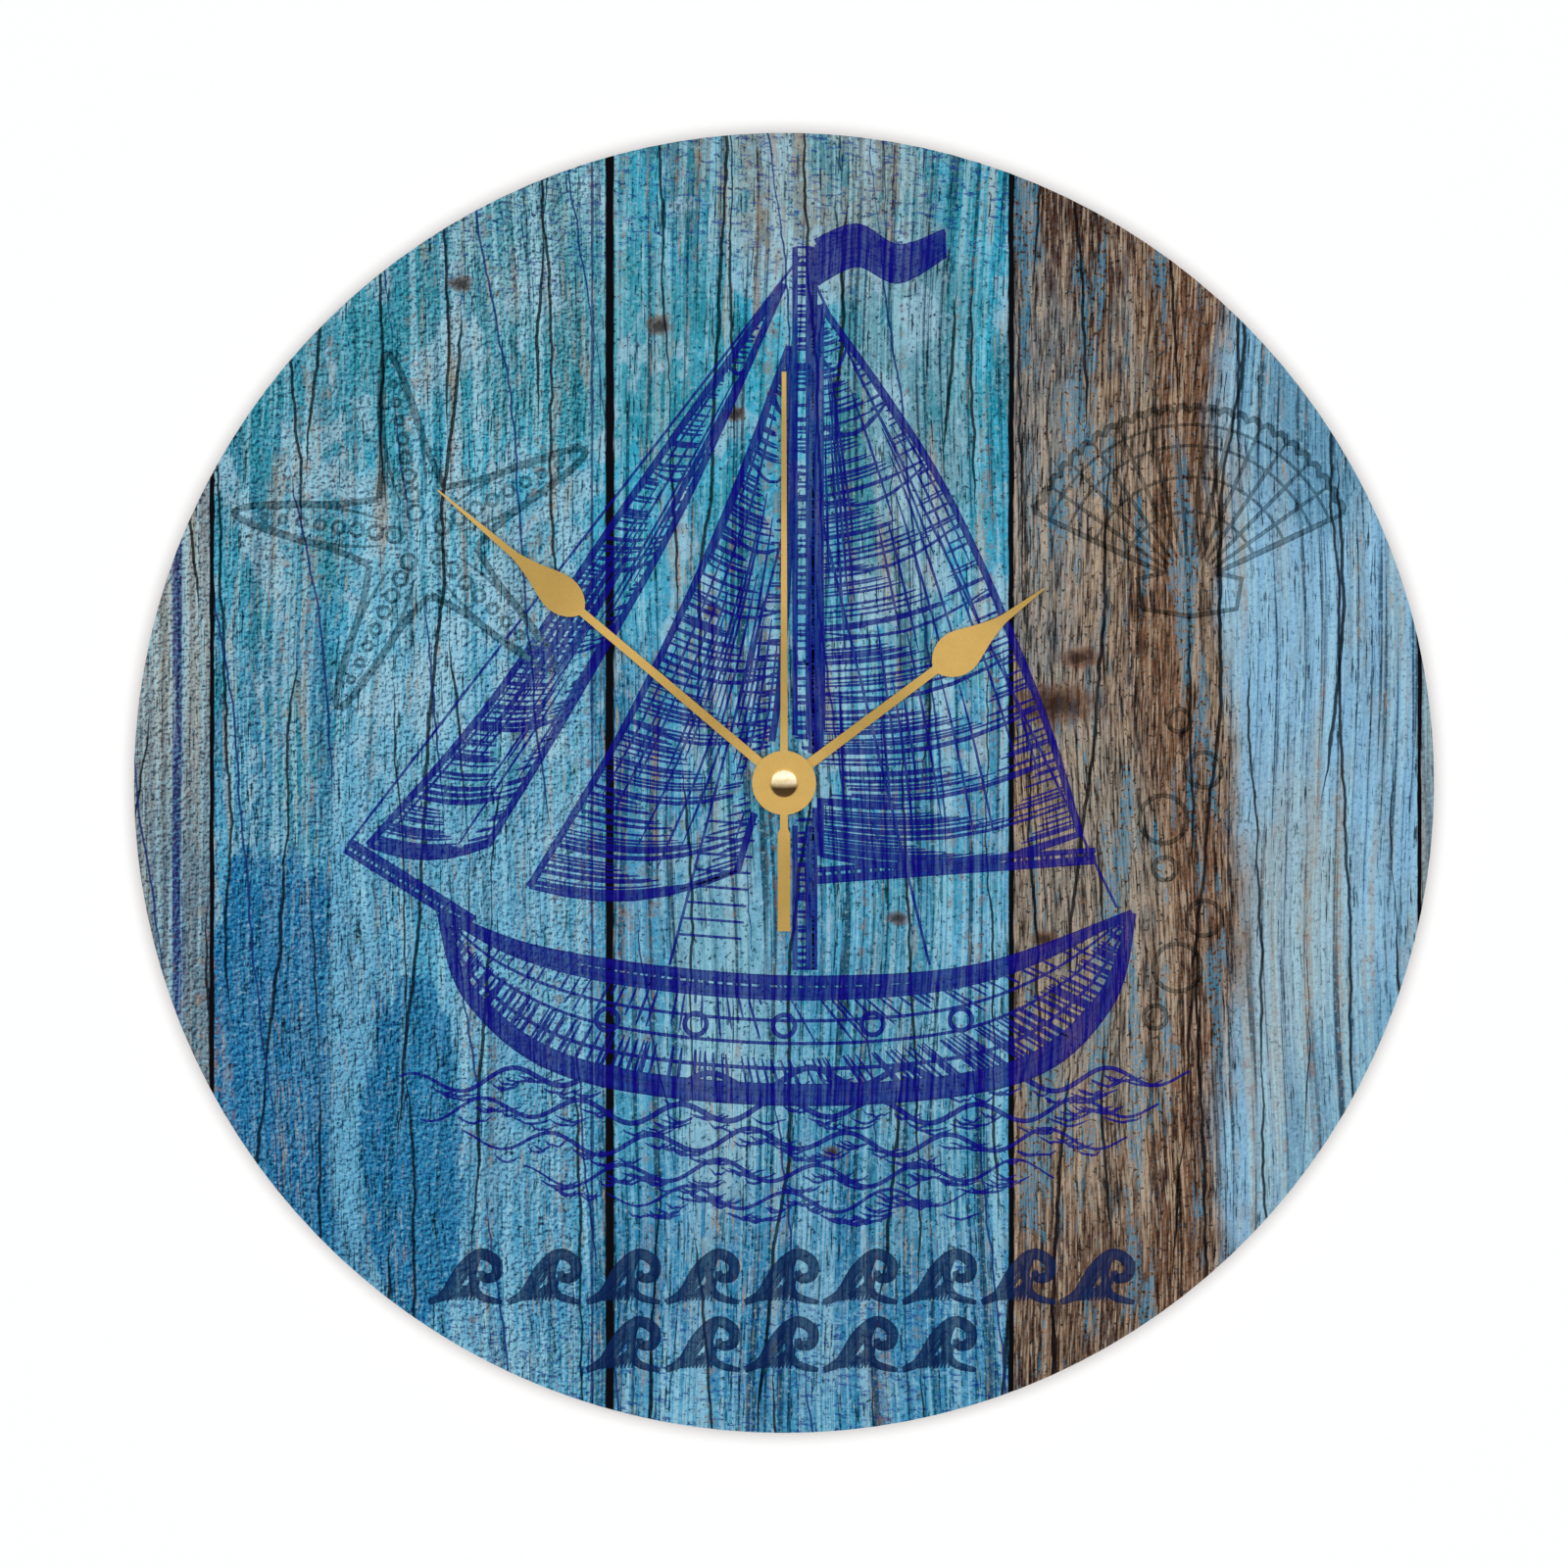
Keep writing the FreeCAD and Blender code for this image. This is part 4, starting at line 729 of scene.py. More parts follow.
def circuit_material():
    """Green laminate with the tracks showing through its lacquer."""
    nodes = new_material("lacquered_laminate")
    surface = worked(nodes, srgb(24, 96, 58), srgb(14, 66, 40), (1.8, 1.8, 1.8), 0.4, 0.0, (0.25, 0.4))
    x, _, z = nodes.place().split()
    tracks = abs(((x + z) * 1.3).math("SINE"))
    surface["Colour"] = nodes.blend(tracks.ramp(0.86, 0.92, 0.0, 0.6), surface["Colour"], srgb(92, 150, 84))
    return finish(nodes, surface, 0.05)


def slot_materials():
    """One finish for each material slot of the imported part."""
    finishes = {slot: plain_material(*values) for slot, values in PLAIN_FINISHES.items()}
    finishes["printed_face"] = print_material("printed_boards")
    finishes["fibreboard"] = board_back_material()
    finishes["copper_wire"] = winding_material()
    finishes["circuit_laminate"] = circuit_material()
    finishes["satin_gold"] = gold_material()
    finishes["cell_sleeve"] = sleeve_material()
    return finishes


def keep_piece(piece, body, slot, *nodes):
    """Hangs a finished piece on its body, and hides the imported nodes that it replaces."""
    if nodes:
        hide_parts(*nodes)
    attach(piece, body)


def linked(name, mesh, material=None):
    piece = bpy.data.objects.new(name, mesh)
    bpy.context.scene.collection.objects.link(piece)
    if material is not None:
        mesh.materials.clear()
        mesh.materials.append(bpy.data.materials[material])
    return piece


def mesh_of(shape, name):
    """Ends a shape in the making as a mesh."""
    mesh = bpy.data.meshes.new(name)
    shape.to_mesh(mesh)
    shape.free()
    return mesh


def smooth_faces(shape, angle=0.6):
    """Smooth shading with sharp edges where the faces turn more than the angle."""
    bmesh.ops.remove_doubles(shape, verts=shape.verts, dist=1e-7)
    bmesh.ops.recalc_face_normals(shape, faces=shape.faces)
    for face in shape.faces:
        face.smooth = True
    for edge in shape.edges:
        edge.smooth = edge.is_manifold and edge.calc_face_angle(0.0) < angle


def turned(name, profile, axis, origin, material):
    """A closed piece turned round an axis: the profile is (distance along, radius) pairs."""
    steps = choices("sizes").turns
    shape = bmesh.new()
    rings = [[shape.verts.new(turned_point(axis, origin, place, radius, 2 * math.pi * step / steps))
              for step in range(steps if radius else 1)] for place, radius in profile]
    for near, far in zip(rings, rings[1:]):
        for step in range(steps):
            after = (step + 1) % steps
            places = ((near, step), (near, after), (far, after), (far, step))
            face = list(dict.fromkeys(circle[at % len(circle)] for circle, at in places))
            if len(face) > 2:
                shape.faces.new(face)
    smooth_faces(shape)
    return linked(name, mesh_of(shape, name), material)


def turned_point(axis, origin, place, radius, angle):
    across, up = radius * math.cos(angle), radius * math.sin(angle)
    if axis == "x":
        return Vector((origin[0] + place, origin[1] + across, origin[2] + up))
    return Vector((origin[0] + across, origin[1] + place, origin[2] + up))


def modelled(name, holder, tree, values):
    """The plain mesh that a geometry tree makes of an object; the object is removed."""
    modifier = holder.modifiers.new(name, "NODES")
    modifier.node_group = tree
    for socket in tree.interface.items_tree:
        if socket.in_out == "INPUT" and socket.name in values:
            modifier[socket.identifier] = values[socket.name]
    depsgraph = bpy.context.evaluated_depsgraph_get()
    mesh = bpy.data.meshes.new_from_object(holder.evaluated_get(depsgraph))
    mesh.name = name
    holder.modifiers.clear()
    bpy.data.objects.remove(holder)
    return mesh


def end_tree(nodes, shape, material):
    """Makes the result real, gives it its material and puts it out."""
    plain = nodes.value("GeometryNodeRealizeInstances", {"Geometry": shape})
    covered = nodes.value("GeometryNodeSetMaterial", {"Geometry": plain, "Material": material})
    nodes.add("NodeGroupOutput", {0: covered})
    return nodes.tree


def stroke_tree():
    """Geometry nodes: repeats a drawing along a line and sweeps its strokes into flat closed ribbons."""
    nodes, given = new_group(
        "swept_strokes", "GeometryNodeTree",
        {"Drawing": "shape", "Count": "count", "Pitch": "vector", "Underside": "number", "Ink": "material"},
        {"Ribbons": "shape"})
    row = nodes.value("GeometryNodeMeshLine", {"Count": given["Count"], "Offset": given["Pitch"]})
    repeat = nodes.value("GeometryNodeInstanceOnPoints", {"Points": row, "Instance": given["Drawing"]})
    whole = nodes.value("GeometryNodeRealizeInstances", {"Geometry": repeat})
    curves = nodes.value("GeometryNodeMeshToCurve", {"Mesh": whole})
    facing = nodes.value("GeometryNodeSetCurveNormal", {"Curve": curves, "Normal": (0.0, -1.0, 0.0)},
                         mode="FREE")
    band = nodes.value("GeometryNodeCurvePrimitiveQuadrilateral", {"Width": 1.0, "Height": 1.0})
    width = nodes.value("GeometryNodeInputNamedAttribute", {"Name": "width"}, "Attribute")
    sweep = nodes.value("GeometryNodeCurveToMesh", {"Curve": facing, "Profile Curve": band,
                                                    "Scale": width, "Fill Caps": True})
    x, y, z = nodes.value("GeometryNodeInputPosition").split()
    top = nodes.value("GeometryNodeInputNamedAttribute", {"Name": "top"}, "Attribute")
    depth = nodes.value("ShaderNodeMix", {0: y > top, 2: top, 3: given["Underside"]}, data_type="FLOAT")
    flat = nodes.combine(x, depth, z)
    pressed = nodes.value("GeometryNodeSetPosition", {"Geometry": sweep, "Position": flat})
    return end_tree(nodes, pressed, given["Ink"])


def rib_tree():
    """Geometry nodes: ribs set round a turned knob."""
    nodes, given = new_group(
        "knob_ribs", "GeometryNodeTree",
        {"Knob": "shape", "Count": "count", "Centre": "vector", "Radius": "number", "Rib": "vector",
         "Plastic": "material"},
        {"Ribbed": "shape"})
    points = nodes.value("GeometryNodeMeshLine", {"Count": given["Count"]})
    angle = nodes.value("GeometryNodeInputIndex") * (2 * math.pi) / given["Count"]
    spot = nodes.combine(angle.math("COSINE") * given["Radius"], 0.0, angle.math("SINE") * given["Radius"])
    placed = nodes.value("GeometryNodeSetPosition",
                         {"Geometry": points, "Position": spot.vector("ADD", given["Centre"])})
    rib = nodes.value("GeometryNodeMeshCube", {"Size": given["Rib"]})
    turn = nodes.value("FunctionNodeEulerToRotation", {0: nodes.combine(0.0, angle * -1.0, 0.0)})
    ribs = nodes.value("GeometryNodeInstanceOnPoints", {"Points": placed, "Instance": rib, "Rotation": turn})
    both = nodes.add("GeometryNodeJoinGeometry", {0: given["Knob"]})
    nodes.feed(both.inputs[0], ribs)
    return end_tree(nodes, Value(nodes, both.outputs[0]), given["Plastic"])


# Lines and points in millimetres from the dial's centre
def between(first, second, share):
    """The point at a share of the way from one point to another."""
    return tuple(a + (b - a) * share for a, b in zip(first, second))


def straight(first, second, steps):
    return [between(first, second, k / steps) for k in range(steps + 1)]


def along(points, share):
    """The point at a share of a polyline's point count."""
    place = min(max(share, 0.0), 1.0) * (len(points) - 1)
    index = min(int(place), len(points) - 2)
    return between(points[index], points[index + 1], place - index)


def amid(near, far, share, steps):
    """The line at a share of the way from one line to another."""
    return [between(along(near, k / steps), along(far, k / steps), share) for k in range(steps + 1)]


def smooth(points, steps):
    """A rounded line through the points."""
    result = []
    for before, start, end, after in zip(points[:1] + points, points, points[1:], points[2:] + points[-1:]):
        for step in range(steps):
            t = step / steps
            result.append(tuple(
                0.5 * (2 * s + (e - b) * t + (2 * b - 5 * s + 4 * e - a) * t * t
                       + (3 * s - b - 3 * e + a) * t ** 3)
                for b, s, e, a in zip(before, start, end, after)))
    return result + [points[-1]]


def polar(cx, cz, radius, aim, tall=1.0):
    """The point at a distance and an angle from another, with heights stretched by tall."""
    return (cx + radius * math.cos(aim), cz + tall * radius * math.sin(aim))


def ring(cx, cz, radius, count):
    return [polar(cx, cz, radius, 2 * math.pi * k / count) for k in range(count)]


class Drawing:
    """Strokes in millimetres from the dial's centre, kept inside the dial and off the middle."""

    def __init__(self, seed):
        self.chance = random.Random(seed)
        self.strokes = []

    def line(self, points, width, taper=0.0):
        """One stroke; where it leaves the dial or meets the middle it is cut."""
        last = len(points) - 1
        run = []
        for index, point in enumerate(points):
            if DRAWING_HUB < math.hypot(*point) < DRAWING_RIM:
                run.append((point, width * (1 - taper * abs(2 * index / last - 1) ** 3)))
                continue
            self.keep(run)
            run = []
        self.keep(run)

    def loop(self, points, width):
        """A closed stroke."""
        self.strokes.append((points, [width] * len(points), True))

    def keep(self, run):
        if len(run) > 1:
            self.strokes.append(([point for point, _ in run], [width for _, width in run], False))

    def hatch(self, near, far, spans, width, bend=0.0, jitter=0.35):
        """Strokes from one curve towards another; spans gives (place, from, to) shares."""
        for place, start, end in spans:
            wander = self.chance.uniform(-jitter, jitter) / len(near)
            first = along(near, place + wander)
            second = along(far, place + wander)
            points = []
            for step in range(HATCH_STEPS + 1):
                share = start + (end - start) * step / HATCH_STEPS
                x, z = between(first, second, share)
                points.append((x, z + bend * math.sin(math.pi * share)))
            self.line(points, width * self.chance.uniform(0.75, 1.2), 0.55)


def inked_piece(name, drawing, material, count=1, pitch=(0.0, 0.0, 0.0)):
    """Sweeps a drawing into ink lying on the print."""
    skin = choices("sizes").ink_skin
    points, edges, widths, tops = [], [], [], []
    for number, (line, sizes, closed) in enumerate(drawing.strokes):
        first = len(points)
        top = PRINT_FACE - skin * (1 + 2.0 * ((number * LEVEL_STEP) % 1.0))
        points += [(DIAL_CENTRE.x + x * MM, top, DIAL_CENTRE.z + z * MM) for x, z in line]
        widths += sizes
        tops += [top] * len(line)
        edges += [(first + k, first + k + 1) for k in range(len(line) - 1)]
        if closed:
            edges.append((first + len(line) - 1, first))
    mesh = bpy.data.meshes.new(name + "_strokes")
    mesh.from_pydata(points, edges, [])
    for label, values in (("width", widths), ("top", tops)):
        mesh.attributes.new(label, "FLOAT", "POINT").data.foreach_set("value", values)
    swept = modelled(name, linked(name + "_holder", mesh), shared_group("swept_strokes", stroke_tree),
                     {"Count": count, "Pitch": pitch, "Underside": PRINT_FACE + skin / 2,
                      "Ink": bpy.data.materials[material]})
    for label in ("width", "top"):
        if label in swept.attributes:
            swept.attributes.remove(swept.attributes[label])
    keep_piece(linked(name, swept), "root", "printed_face")


def draw_hull(draw, outline, hatch):
    """Planks, shading and portholes between the deck and the keel."""
    deck = smooth([(-66, -25), (-48, -32), (-20, -36.5), (8, -38), (38, -35.5), (67, -25)], 12)
    keel = smooth([(-66, -25), (-60, -42), (-40, -56), (2, -61), (44, -57), (62, -43), (67, -25)], 10)
    for share, width in PLANKS:
        draw.line(amid(deck, keel, share, 60), outline * width, 0.3)
    for number in range(HULL_STROKES):
        place = (number + 0.5) / HULL_STROKES
        dark = 0.5 + 0.5 * abs(2 * place - 1)
        draw.hatch(deck, keel, [(place, 0.98 - 0.62 * dark, 1.0)], hatch * 1.15)
        draw.hatch(deck, keel, [(place, 0.02, 0.14)], hatch * 1.3)
        if number % 2:
            draw.hatch(deck, keel, [(place, 0.16, 0.16 + 0.4 * draw.chance.random())], hatch)
    for number in range(5):
        level = -45.5 - 1.2 * math.sin(math.pi * number / 4)
        draw.loop(ring(-34 + 17 * number, level, 2.1, 20), outline * 0.9)


def draw_spars(draw, outline, hatch):
    """Mast, boom and bowsprit, as pairs of edges with shading between."""
    for start, end, thick, count in SPARS:
        dx, dz = end[0] - start[0], end[1] - start[1]
        length = math.hypot(dx, dz)
        side = (-dz / length * thick, dx / length * thick)
        middle = straight(start, end, 40)
        left, right = ([(x + way * side[0], z + way * side[1]) for x, z in middle] for way in (1, -1))
        draw.line(left, outline)
        draw.line(right, outline)
        spans = [((k + 0.5) / count, 0.0, 1.0 if k % 3 else 0.7) for k in range(count)]
        draw.hatch(left, right, spans, hatch * 1.1)
        for share in (0.62, 0.76, 0.9):
            draw.line(amid(left, right, share, 40), outline * 0.55)


def draw_sail(draw, outline, hatch, luff, leech, sag, panels):
    """A sail between its front and back edges, with seams, shading and loose strokes."""
    luff, leech = smooth(luff, 16), smooth(leech, 16)
    draw.line(luff, outline * 1.3)
    draw.line(leech, outline * 1.3)
    draw.hatch(luff, leech, [(1.0, 0.0, 1.0)], outline * 1.6, sag, 0.0)
    draw.hatch(luff, leech, [(k / panels, 0.0, 1.0) for k in range(1, panels)], outline * 0.75, sag, 0.0)
    for k in range(SAIL_STROKES):
        place = (k + 0.5) / SAIL_STROKES
        deep = 0.25 + 0.55 * ((place * panels) % 1.0)
        draw.hatch(luff, leech, [(place, 0.0, deep)], hatch, sag * place)
        if k % 2:
            draw.hatch(luff, leech, [(place, 1.0 - 0.35 * deep, 1.0)], hatch, sag * place)
    for k in range(26):
        shade = amid(luff, leech, (k + 0.5) / 26, 30)
        start = 4 + draw.chance.randrange(16)
        draw.line(shade[start:start + 6 + draw.chance.randrange(8)], hatch, 0.6)


def boat_drawing():
    """A sailing boat in outline and hatching."""
    size = choices("sizes")
    pens = (size.outline, size.hatch)
    draw = Drawing(11)
    draw_hull(draw, *pens)
    draw_spars(draw, *pens)
    for sail in SAILS:
        draw_sail(draw, *pens, *sail)
    for start, end in STAYS:
        draw.line(straight(start, end, 30), size.outline * 0.5)
    # Rungs of the ladder up the mast, then the flag's strokes
    for k in range(22):
        share = 0.25 + 0.72 * k / 22
        draw.line([(3 - 25 * share, 60 - 95 * share), (4 - 13 * share, 60 - 96 * share)], size.hatch)
    for k in range(9):
        flag = smooth([(6, 104 - k), (14, 107 - k * 0.9), (22, 103 - k * 0.8), (31, 106 - k * 0.55)], 6)
        draw.line(flag, size.outline * (1.2 if k in (0, 8) else 0.9))
    return draw


def sea_drawing():
    """The swell that the boat lies in."""
    size = choices("sizes")
    draw = Drawing(23)
    for row, (left, right, level) in enumerate(SWELL):
        points = []
        for k in range(121):
            x = left + (right - left) * k / 120
            points.append((x, level + 1.9 * math.sin(x * 0.33 + row * 1.9) + 0.7 * math.sin(x * 0.11 + row)))
        draw.line(points, size.outline * (1.15 - 0.12 * row), 0.6)
        for _ in range(60):
            x, z = points[draw.chance.randrange(4, 112)]
            reach = draw.chance.uniform(3, 8)
            draw.line([(x + reach * t / 6, z - 1.2 - 0.5 * draw.chance.random() - 1.1 * math.sin(t / 2))
                       for t in range(7)], size.hatch, 0.7)
    return draw


def wavelet_drawing(offset, level):
    """One curling wave of the band at the foot."""
    size = choices("sizes")
    draw = Drawing(31)
    curl = smooth([(-7.6, -4.4), (-4.4, -2.6), (-1.2, 2.2), (2.4, 4.9), (5.4, 3.4), (5.3, 0.8), (3.2, 0.3),
                   (2.6, 1.7)], 7)
    back = smooth([(2.4, 4.9), (0.9, 1.0), (2.2, -3.0), (6.6, -4.4)], 6)
    inner = smooth([(-5.8, -4.3), (-2.6, -2.2), (0.2, 1.6), (2.0, 3.9)], 6)
    for shape, width in ((curl, 2.1), (back, 1.5), (inner, 0.8)):
        draw.line([(offset + x, level + z) for x, z in shape], size.outline * width, 0.5)
    for k in range(9):
        start = -4.6 + 0.72 * k
        draw.line([(offset + start + 0.25 * t, level - 4.0 + (0.9 + 0.52 * k) * t / 5) for t in range(6)],
                  size.hatch * 1.3, 0.5)
    return draw


def ghost_drawing():
    """A faint starfish, a faint scallop shell and bubbles."""
    wide = choices("sizes").ghost_line
    draw = Drawing(41)
    # Starfish: five arms with a row of suckers and a line along each side
    cx, cz = -70, 47
    side = ((11, -0.62), (17, -0.26), (25, -0.13), (33, -0.05), (36, 0.0), (33, 0.05), (25, 0.13), (17, 0.26),
            (11, 0.62))
    for arm in range(5):
        aim = math.radians(100 + 72 * arm)
        draw.line(smooth([polar(cx, cz, radius, aim + turn) for radius, turn in side], 5), wide)
        for k in range(8):
            draw.loop(ring(*polar(cx, cz, 5 + 3.6 * k, aim), 1.5 - 0.12 * k, 12), wide * 0.5)
        for edge in (-1, 1):
            draw.line([polar(cx, cz, r, aim + edge * (0.42 - r * 0.0125)) for r in range(8, 31, 2)],
                      wide * 0.5, 0.6)
    # Shell: a fluted rim, ribs, growth lines and the ears at its hinge
    cx, cz, reach, tall = 78, 38, 32, 1.05
    aims = [math.radians(24 + 132 * k / 78) for k in range(79)]
    draw.line([polar(cx, cz, reach * (1 + 0.035 * math.sin(math.pi * k / 3) ** 2), aim, tall)
               for k, aim in enumerate(aims)], wide)
    for k, aim in enumerate(aims[::6]):
        draw.line([polar(cx, cz, reach * t / 12, aim, tall) for t in range(2, 13)],
                  wide * (0.9 if k in (0, 13) else 0.6), 0.4)
    for share in (0.42, 0.62, 0.80, 0.92):
        draw.line([polar(cx, cz, share * reach, aim, tall) for aim in aims], wide * 0.45)
    ears = ((-5, 2.4), (-10, 1.2), (-9, -4.5), (0, -6), (9, -4.5), (10, 1.2), (5, 2.4))
    draw.line([(cx + x, cz + z) for x, z in ears], wide * 0.8)
    for k in range(7):
        draw.loop(ring(76 + 5 * math.sin(k * 1.9), 12 - 9.5 * k, 2.2 + 1.2 * (k % 3), 20), wide * 0.7)
    return draw


class WALLCLOCK_OT_print(bpy.types.Operator):
    """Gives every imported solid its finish"""
    bl_idname = "wall_clock.finishes"
    bl_label = "Finishes"

    def execute(self, context):
        finishes = slot_materials()
        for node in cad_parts.values():
            for holder in node.material_slots:
                name = holder.material.name.split(".")[0]
                if name not in finishes:
                    raise RuntimeError("no finish for the slot " + name)
                holder.material = finishes[name]
        choice = choices("print")
        print_material("navy_ink", choice.ink, choice.ink_cover, 1.0)
        print_material("band_ink", choice.band_ink, choice.ink_cover, 1.0)
        print_material("ghost_ink", FAINT_INK, choice.ghost_cover + 0.3, 1.0, 1.0)
        return {"FINISHED"}


class WALLCLOCK_OT_drawing(bpy.types.Operator):
    """Draws the boat and the swell in ink"""
    bl_idname = "wall_clock.drawing"
    bl_label = "Boat drawing"

    def execute(self, context):
        inked_piece("boat_ink", boat_drawing(), "navy_ink")
        inked_piece("sea_ink", sea_drawing(), "navy_ink")
        return {"FINISHED"}


class WALLCLOCK_OT_waves(bpy.types.Operator):
    """Repeats the wave band at the foot of the dial"""
    bl_idname = "wall_clock.wave_band"
    bl_label = "Wave band"

    def execute(self, context):
        pitch = choices("sizes").wave_pitch
        for row, (level, reach) in enumerate(WAVE_ROWS):
            count = int(2 * reach * MM / pitch) + 1
            start = -(count - 1) * pitch / MM / 2
            waves = wavelet_drawing(start, level)
            inked_piece(f"wave_band_{row + 1}", waves, "band_ink", count, (pitch, 0.0, 0.0))
        return {"FINISHED"}


class WALLCLOCK_OT_ghosts(bpy.types.Operator):
    """Draws the faint starfish, shell and bubbles"""
    bl_idname = "wall_clock.faint_drawings"
    bl_label = "Faint drawings"

    def execute(self, context):
        inked_piece("faint_ink", ghost_drawing(), "ghost_ink")
        return {"FINISHED"}


class WALLCLOCK_OT_cap(bpy.types.Operator):
    """Turns the small domed cap in the middle"""
    bl_idname = "wall_clock.cap"
    bl_label = "Centre cap"

    def execute(self, context):
        low, high = corners("second_cap")
        radius = (high.x - low.x) / 2
        rise = high.y - low.y
        origin = (DIAL_CENTRE.x, high.y, DIAL_CENTRE.z)
        profile = [(0.0, 0.0), (0.0, radius * CAP_FOOT), (-rise * CAP_CHAMFER, radius),
                   (-rise * CAP_SKIRT, radius)]
        for step in range(1, CAP_STEPS):
            angle = math.pi / 2 * step / CAP_STEPS
            dome = CAP_SKIRT + (1 - CAP_SKIRT) * math.sin(angle)
            profile.append((-rise * dome, radius * math.cos(angle)))
        profile.append((-rise, 0.0))
        piece = turned("cap_dome", profile, "y", origin, "polished_cap_brass")
        keep_piece(piece, "seconds", "polished_brass", "second_cap")
        return {"FINISHED"}


class WALLCLOCK_OT_cell(bpy.types.Operator):
    """Turns the cell with its crimped ends"""
    bl_idname = "wall_clock.cell"
    bl_label = "Cell"

    def execute(self, context):
        low, high = corners("battery_can")
        cap_low, cap_high = corners("battery_cap")
        radius = (high.z - low.z) / 2
        length = high.x - low.x
        nub = (cap_high.z - cap_low.z) / 2
        end = cap_high.x - low.x
        origin = (low.x, (low.y + high.y) / 2, (low.z + high.z) / 2)
        roll, bevel = CELL_ROLL, 0.3 * CELL_ROLL
        profile = [(CELL_DISH, 0.0), (CELL_DISH, radius - 3 * roll), (0.0, radius - 2.4 * roll),
                   (0.0, radius - roll), (bevel, radius - bevel), (roll, radius), (length - roll, radius),
                   (length - bevel, radius - bevel), (length, radius - roll),
                   (length - bevel, radius - 2 * roll), (length - roll, radius - 3 * roll),
                   (length - roll, nub + NUB_FOOT), (length - 0.2 * roll, nub + NUB_FILLET), (length, nub),
                   (end - NUB_TOP, nub), (end - NUB_EDGE, nub - NUB_EDGE), (end, nub - NUB_FILLET),
                   (end, 0.0)]
        piece = turned("cell", profile, "x", origin, "cell_sleeve_print")
        keep_piece(piece, "battery", "cell_sleeve", "battery_can", "battery_cap")
        return {"FINISHED"}


class WALLCLOCK_OT_knob(bpy.types.Operator):
    """Makes the ribbed setting knob"""
    bl_idname = "wall_clock.knob"
    bl_label = "Setting knob"

    def execute(self, context):
        low, high = corners("setting_knob")
        centre = tuple((low + high) / 2)
        radius = (high.x - low.x) / 2
        half = (high.y - low.y) / 2
        rim = radius - KNOB_CORE
        profile = [(-half, 0.0), (-half, rim), (half - KNOB_ROUND, rim), (half - KNOB_EDGE, rim - KNOB_TOP),
                   (half, rim - 2 * KNOB_TOP), (half, 0.0)]
        core = turned("knob_core", profile, "y", centre, "knob_moulding")
        mesh = modelled("knob_ribbed", core, rib_tree(),
                        {"Count": choices("sizes").grip_count, "Centre": centre, "Radius": radius - KNOB_RING,
                         "Rib": (RIB_WIDTH, 2 * half - RIB_SHORTER, RIB_DEPTH),
                         "Plastic": bpy.data.materials["knob_moulding"]})
        keep_piece(linked("knob_ribbed", mesh), "setting", "knob_plastic", "setting_knob")
        return {"FINISHED"}


class WALLCLOCK_OT_arrow(bpy.types.Operator):
    """Raises two turning arrows on the face of the setting knob"""
    bl_idname = "wall_clock.knob_arrows"
    bl_label = "Knob arrows"

    def execute(self, context):
        low, high = corners("setting_knob")
        centre = (low + high) / 2
        inner, outer, barb = ARROW_INNER, ARROW_OUTER, ARROW_BARB
        shape = bmesh.new()
        for start in (0.0, math.pi):
            angles = [start + ARROW_FROM + ARROW_SWEEP * k / ARROW_STEPS for k in range(ARROW_STEPS + 1)]
            rim = [(outer, a) for a in angles] + [(outer + barb, angles[-1])]
            rim.append(((inner + outer) / 2, angles[-1] + ARROW_POINT))
            rim += [(inner - barb, angles[-1])] + [(inner, a) for a in reversed(angles)]
            foot, face = ([shape.verts.new((centre.x + r * math.cos(a), depth, centre.z + r * math.sin(a)))
                           for r, a in rim] for depth in (high.y - ARROW_ROOT, high.y + ARROW_HEIGHT))
            shape.faces.new(foot)
            shape.faces.new(face)
            for k in range(len(rim)):
                after = (k + 1) % len(rim)
                shape.faces.new((foot[k], foot[after], face[after], face[k]))
        bmesh.ops.recalc_face_normals(shape, faces=shape.faces)
        bmesh.ops.triangulate(shape, faces=shape.faces)
        arrows = linked("knob_arrows", mesh_of(shape, "knob_arrows"), "knob_moulding")
        keep_piece(arrows, "setting", "knob_plastic")
        return {"FINISHED"}


class WALLCLOCK_OT_stage(bpy.types.Operator):
    """Sets the wall, the floor, the lamps, the room and the camera"""
    bl_idname = "wall_clock.stage"
    bl_label = "Stage"

    def execute(self, context):
        choice = choices("stage")
        scene = context.scene
        scene.view_settings.view_transform = "Standard"
        side = WALL_SIZE / 2
        stage_sheet("wall", [(-side, WALL_GAP, FLOOR_LEVEL), (side, WALL_GAP, FLOOR_LEVEL),
                             (side, WALL_GAP, side), (-side, WALL_GAP, side)])
        side = FLOOR_SIZE / 2
        stage_sheet("floor", [(-side, -side, FLOOR_LEVEL), (side, -side, FLOOR_LEVEL),
                              (side, side, FLOOR_LEVEL), (-side, side, FLOOR_LEVEL)])
        lamp("front_lamp", choice.front_light, choice.front_spread, (math.pi / 2, 0.0, 0.0))
        lamp("rear_lamp", choice.rear_light, REAR_SPREAD, REAR_TURN)
        room(choice.room_light)
        lens = bpy.data.cameras.new("camera")
        lens.sensor_width = SENSOR
        lens.lens = SENSOR * (choice.distance + PRINT_FACE) / choice.view_width
        lens.clip_end = 20.0
        camera = bpy.data.objects.new("camera", lens)
        camera.location = (DIAL_CENTRE.x, -choice.distance, DIAL_CENTRE.z - CAMERA_DROP)
        camera.rotation_euler = (math.pi / 2, 0.0, 0.0)
        scene.collection.objects.link(camera)
        scene.camera = camera
        return {"FINISHED"}


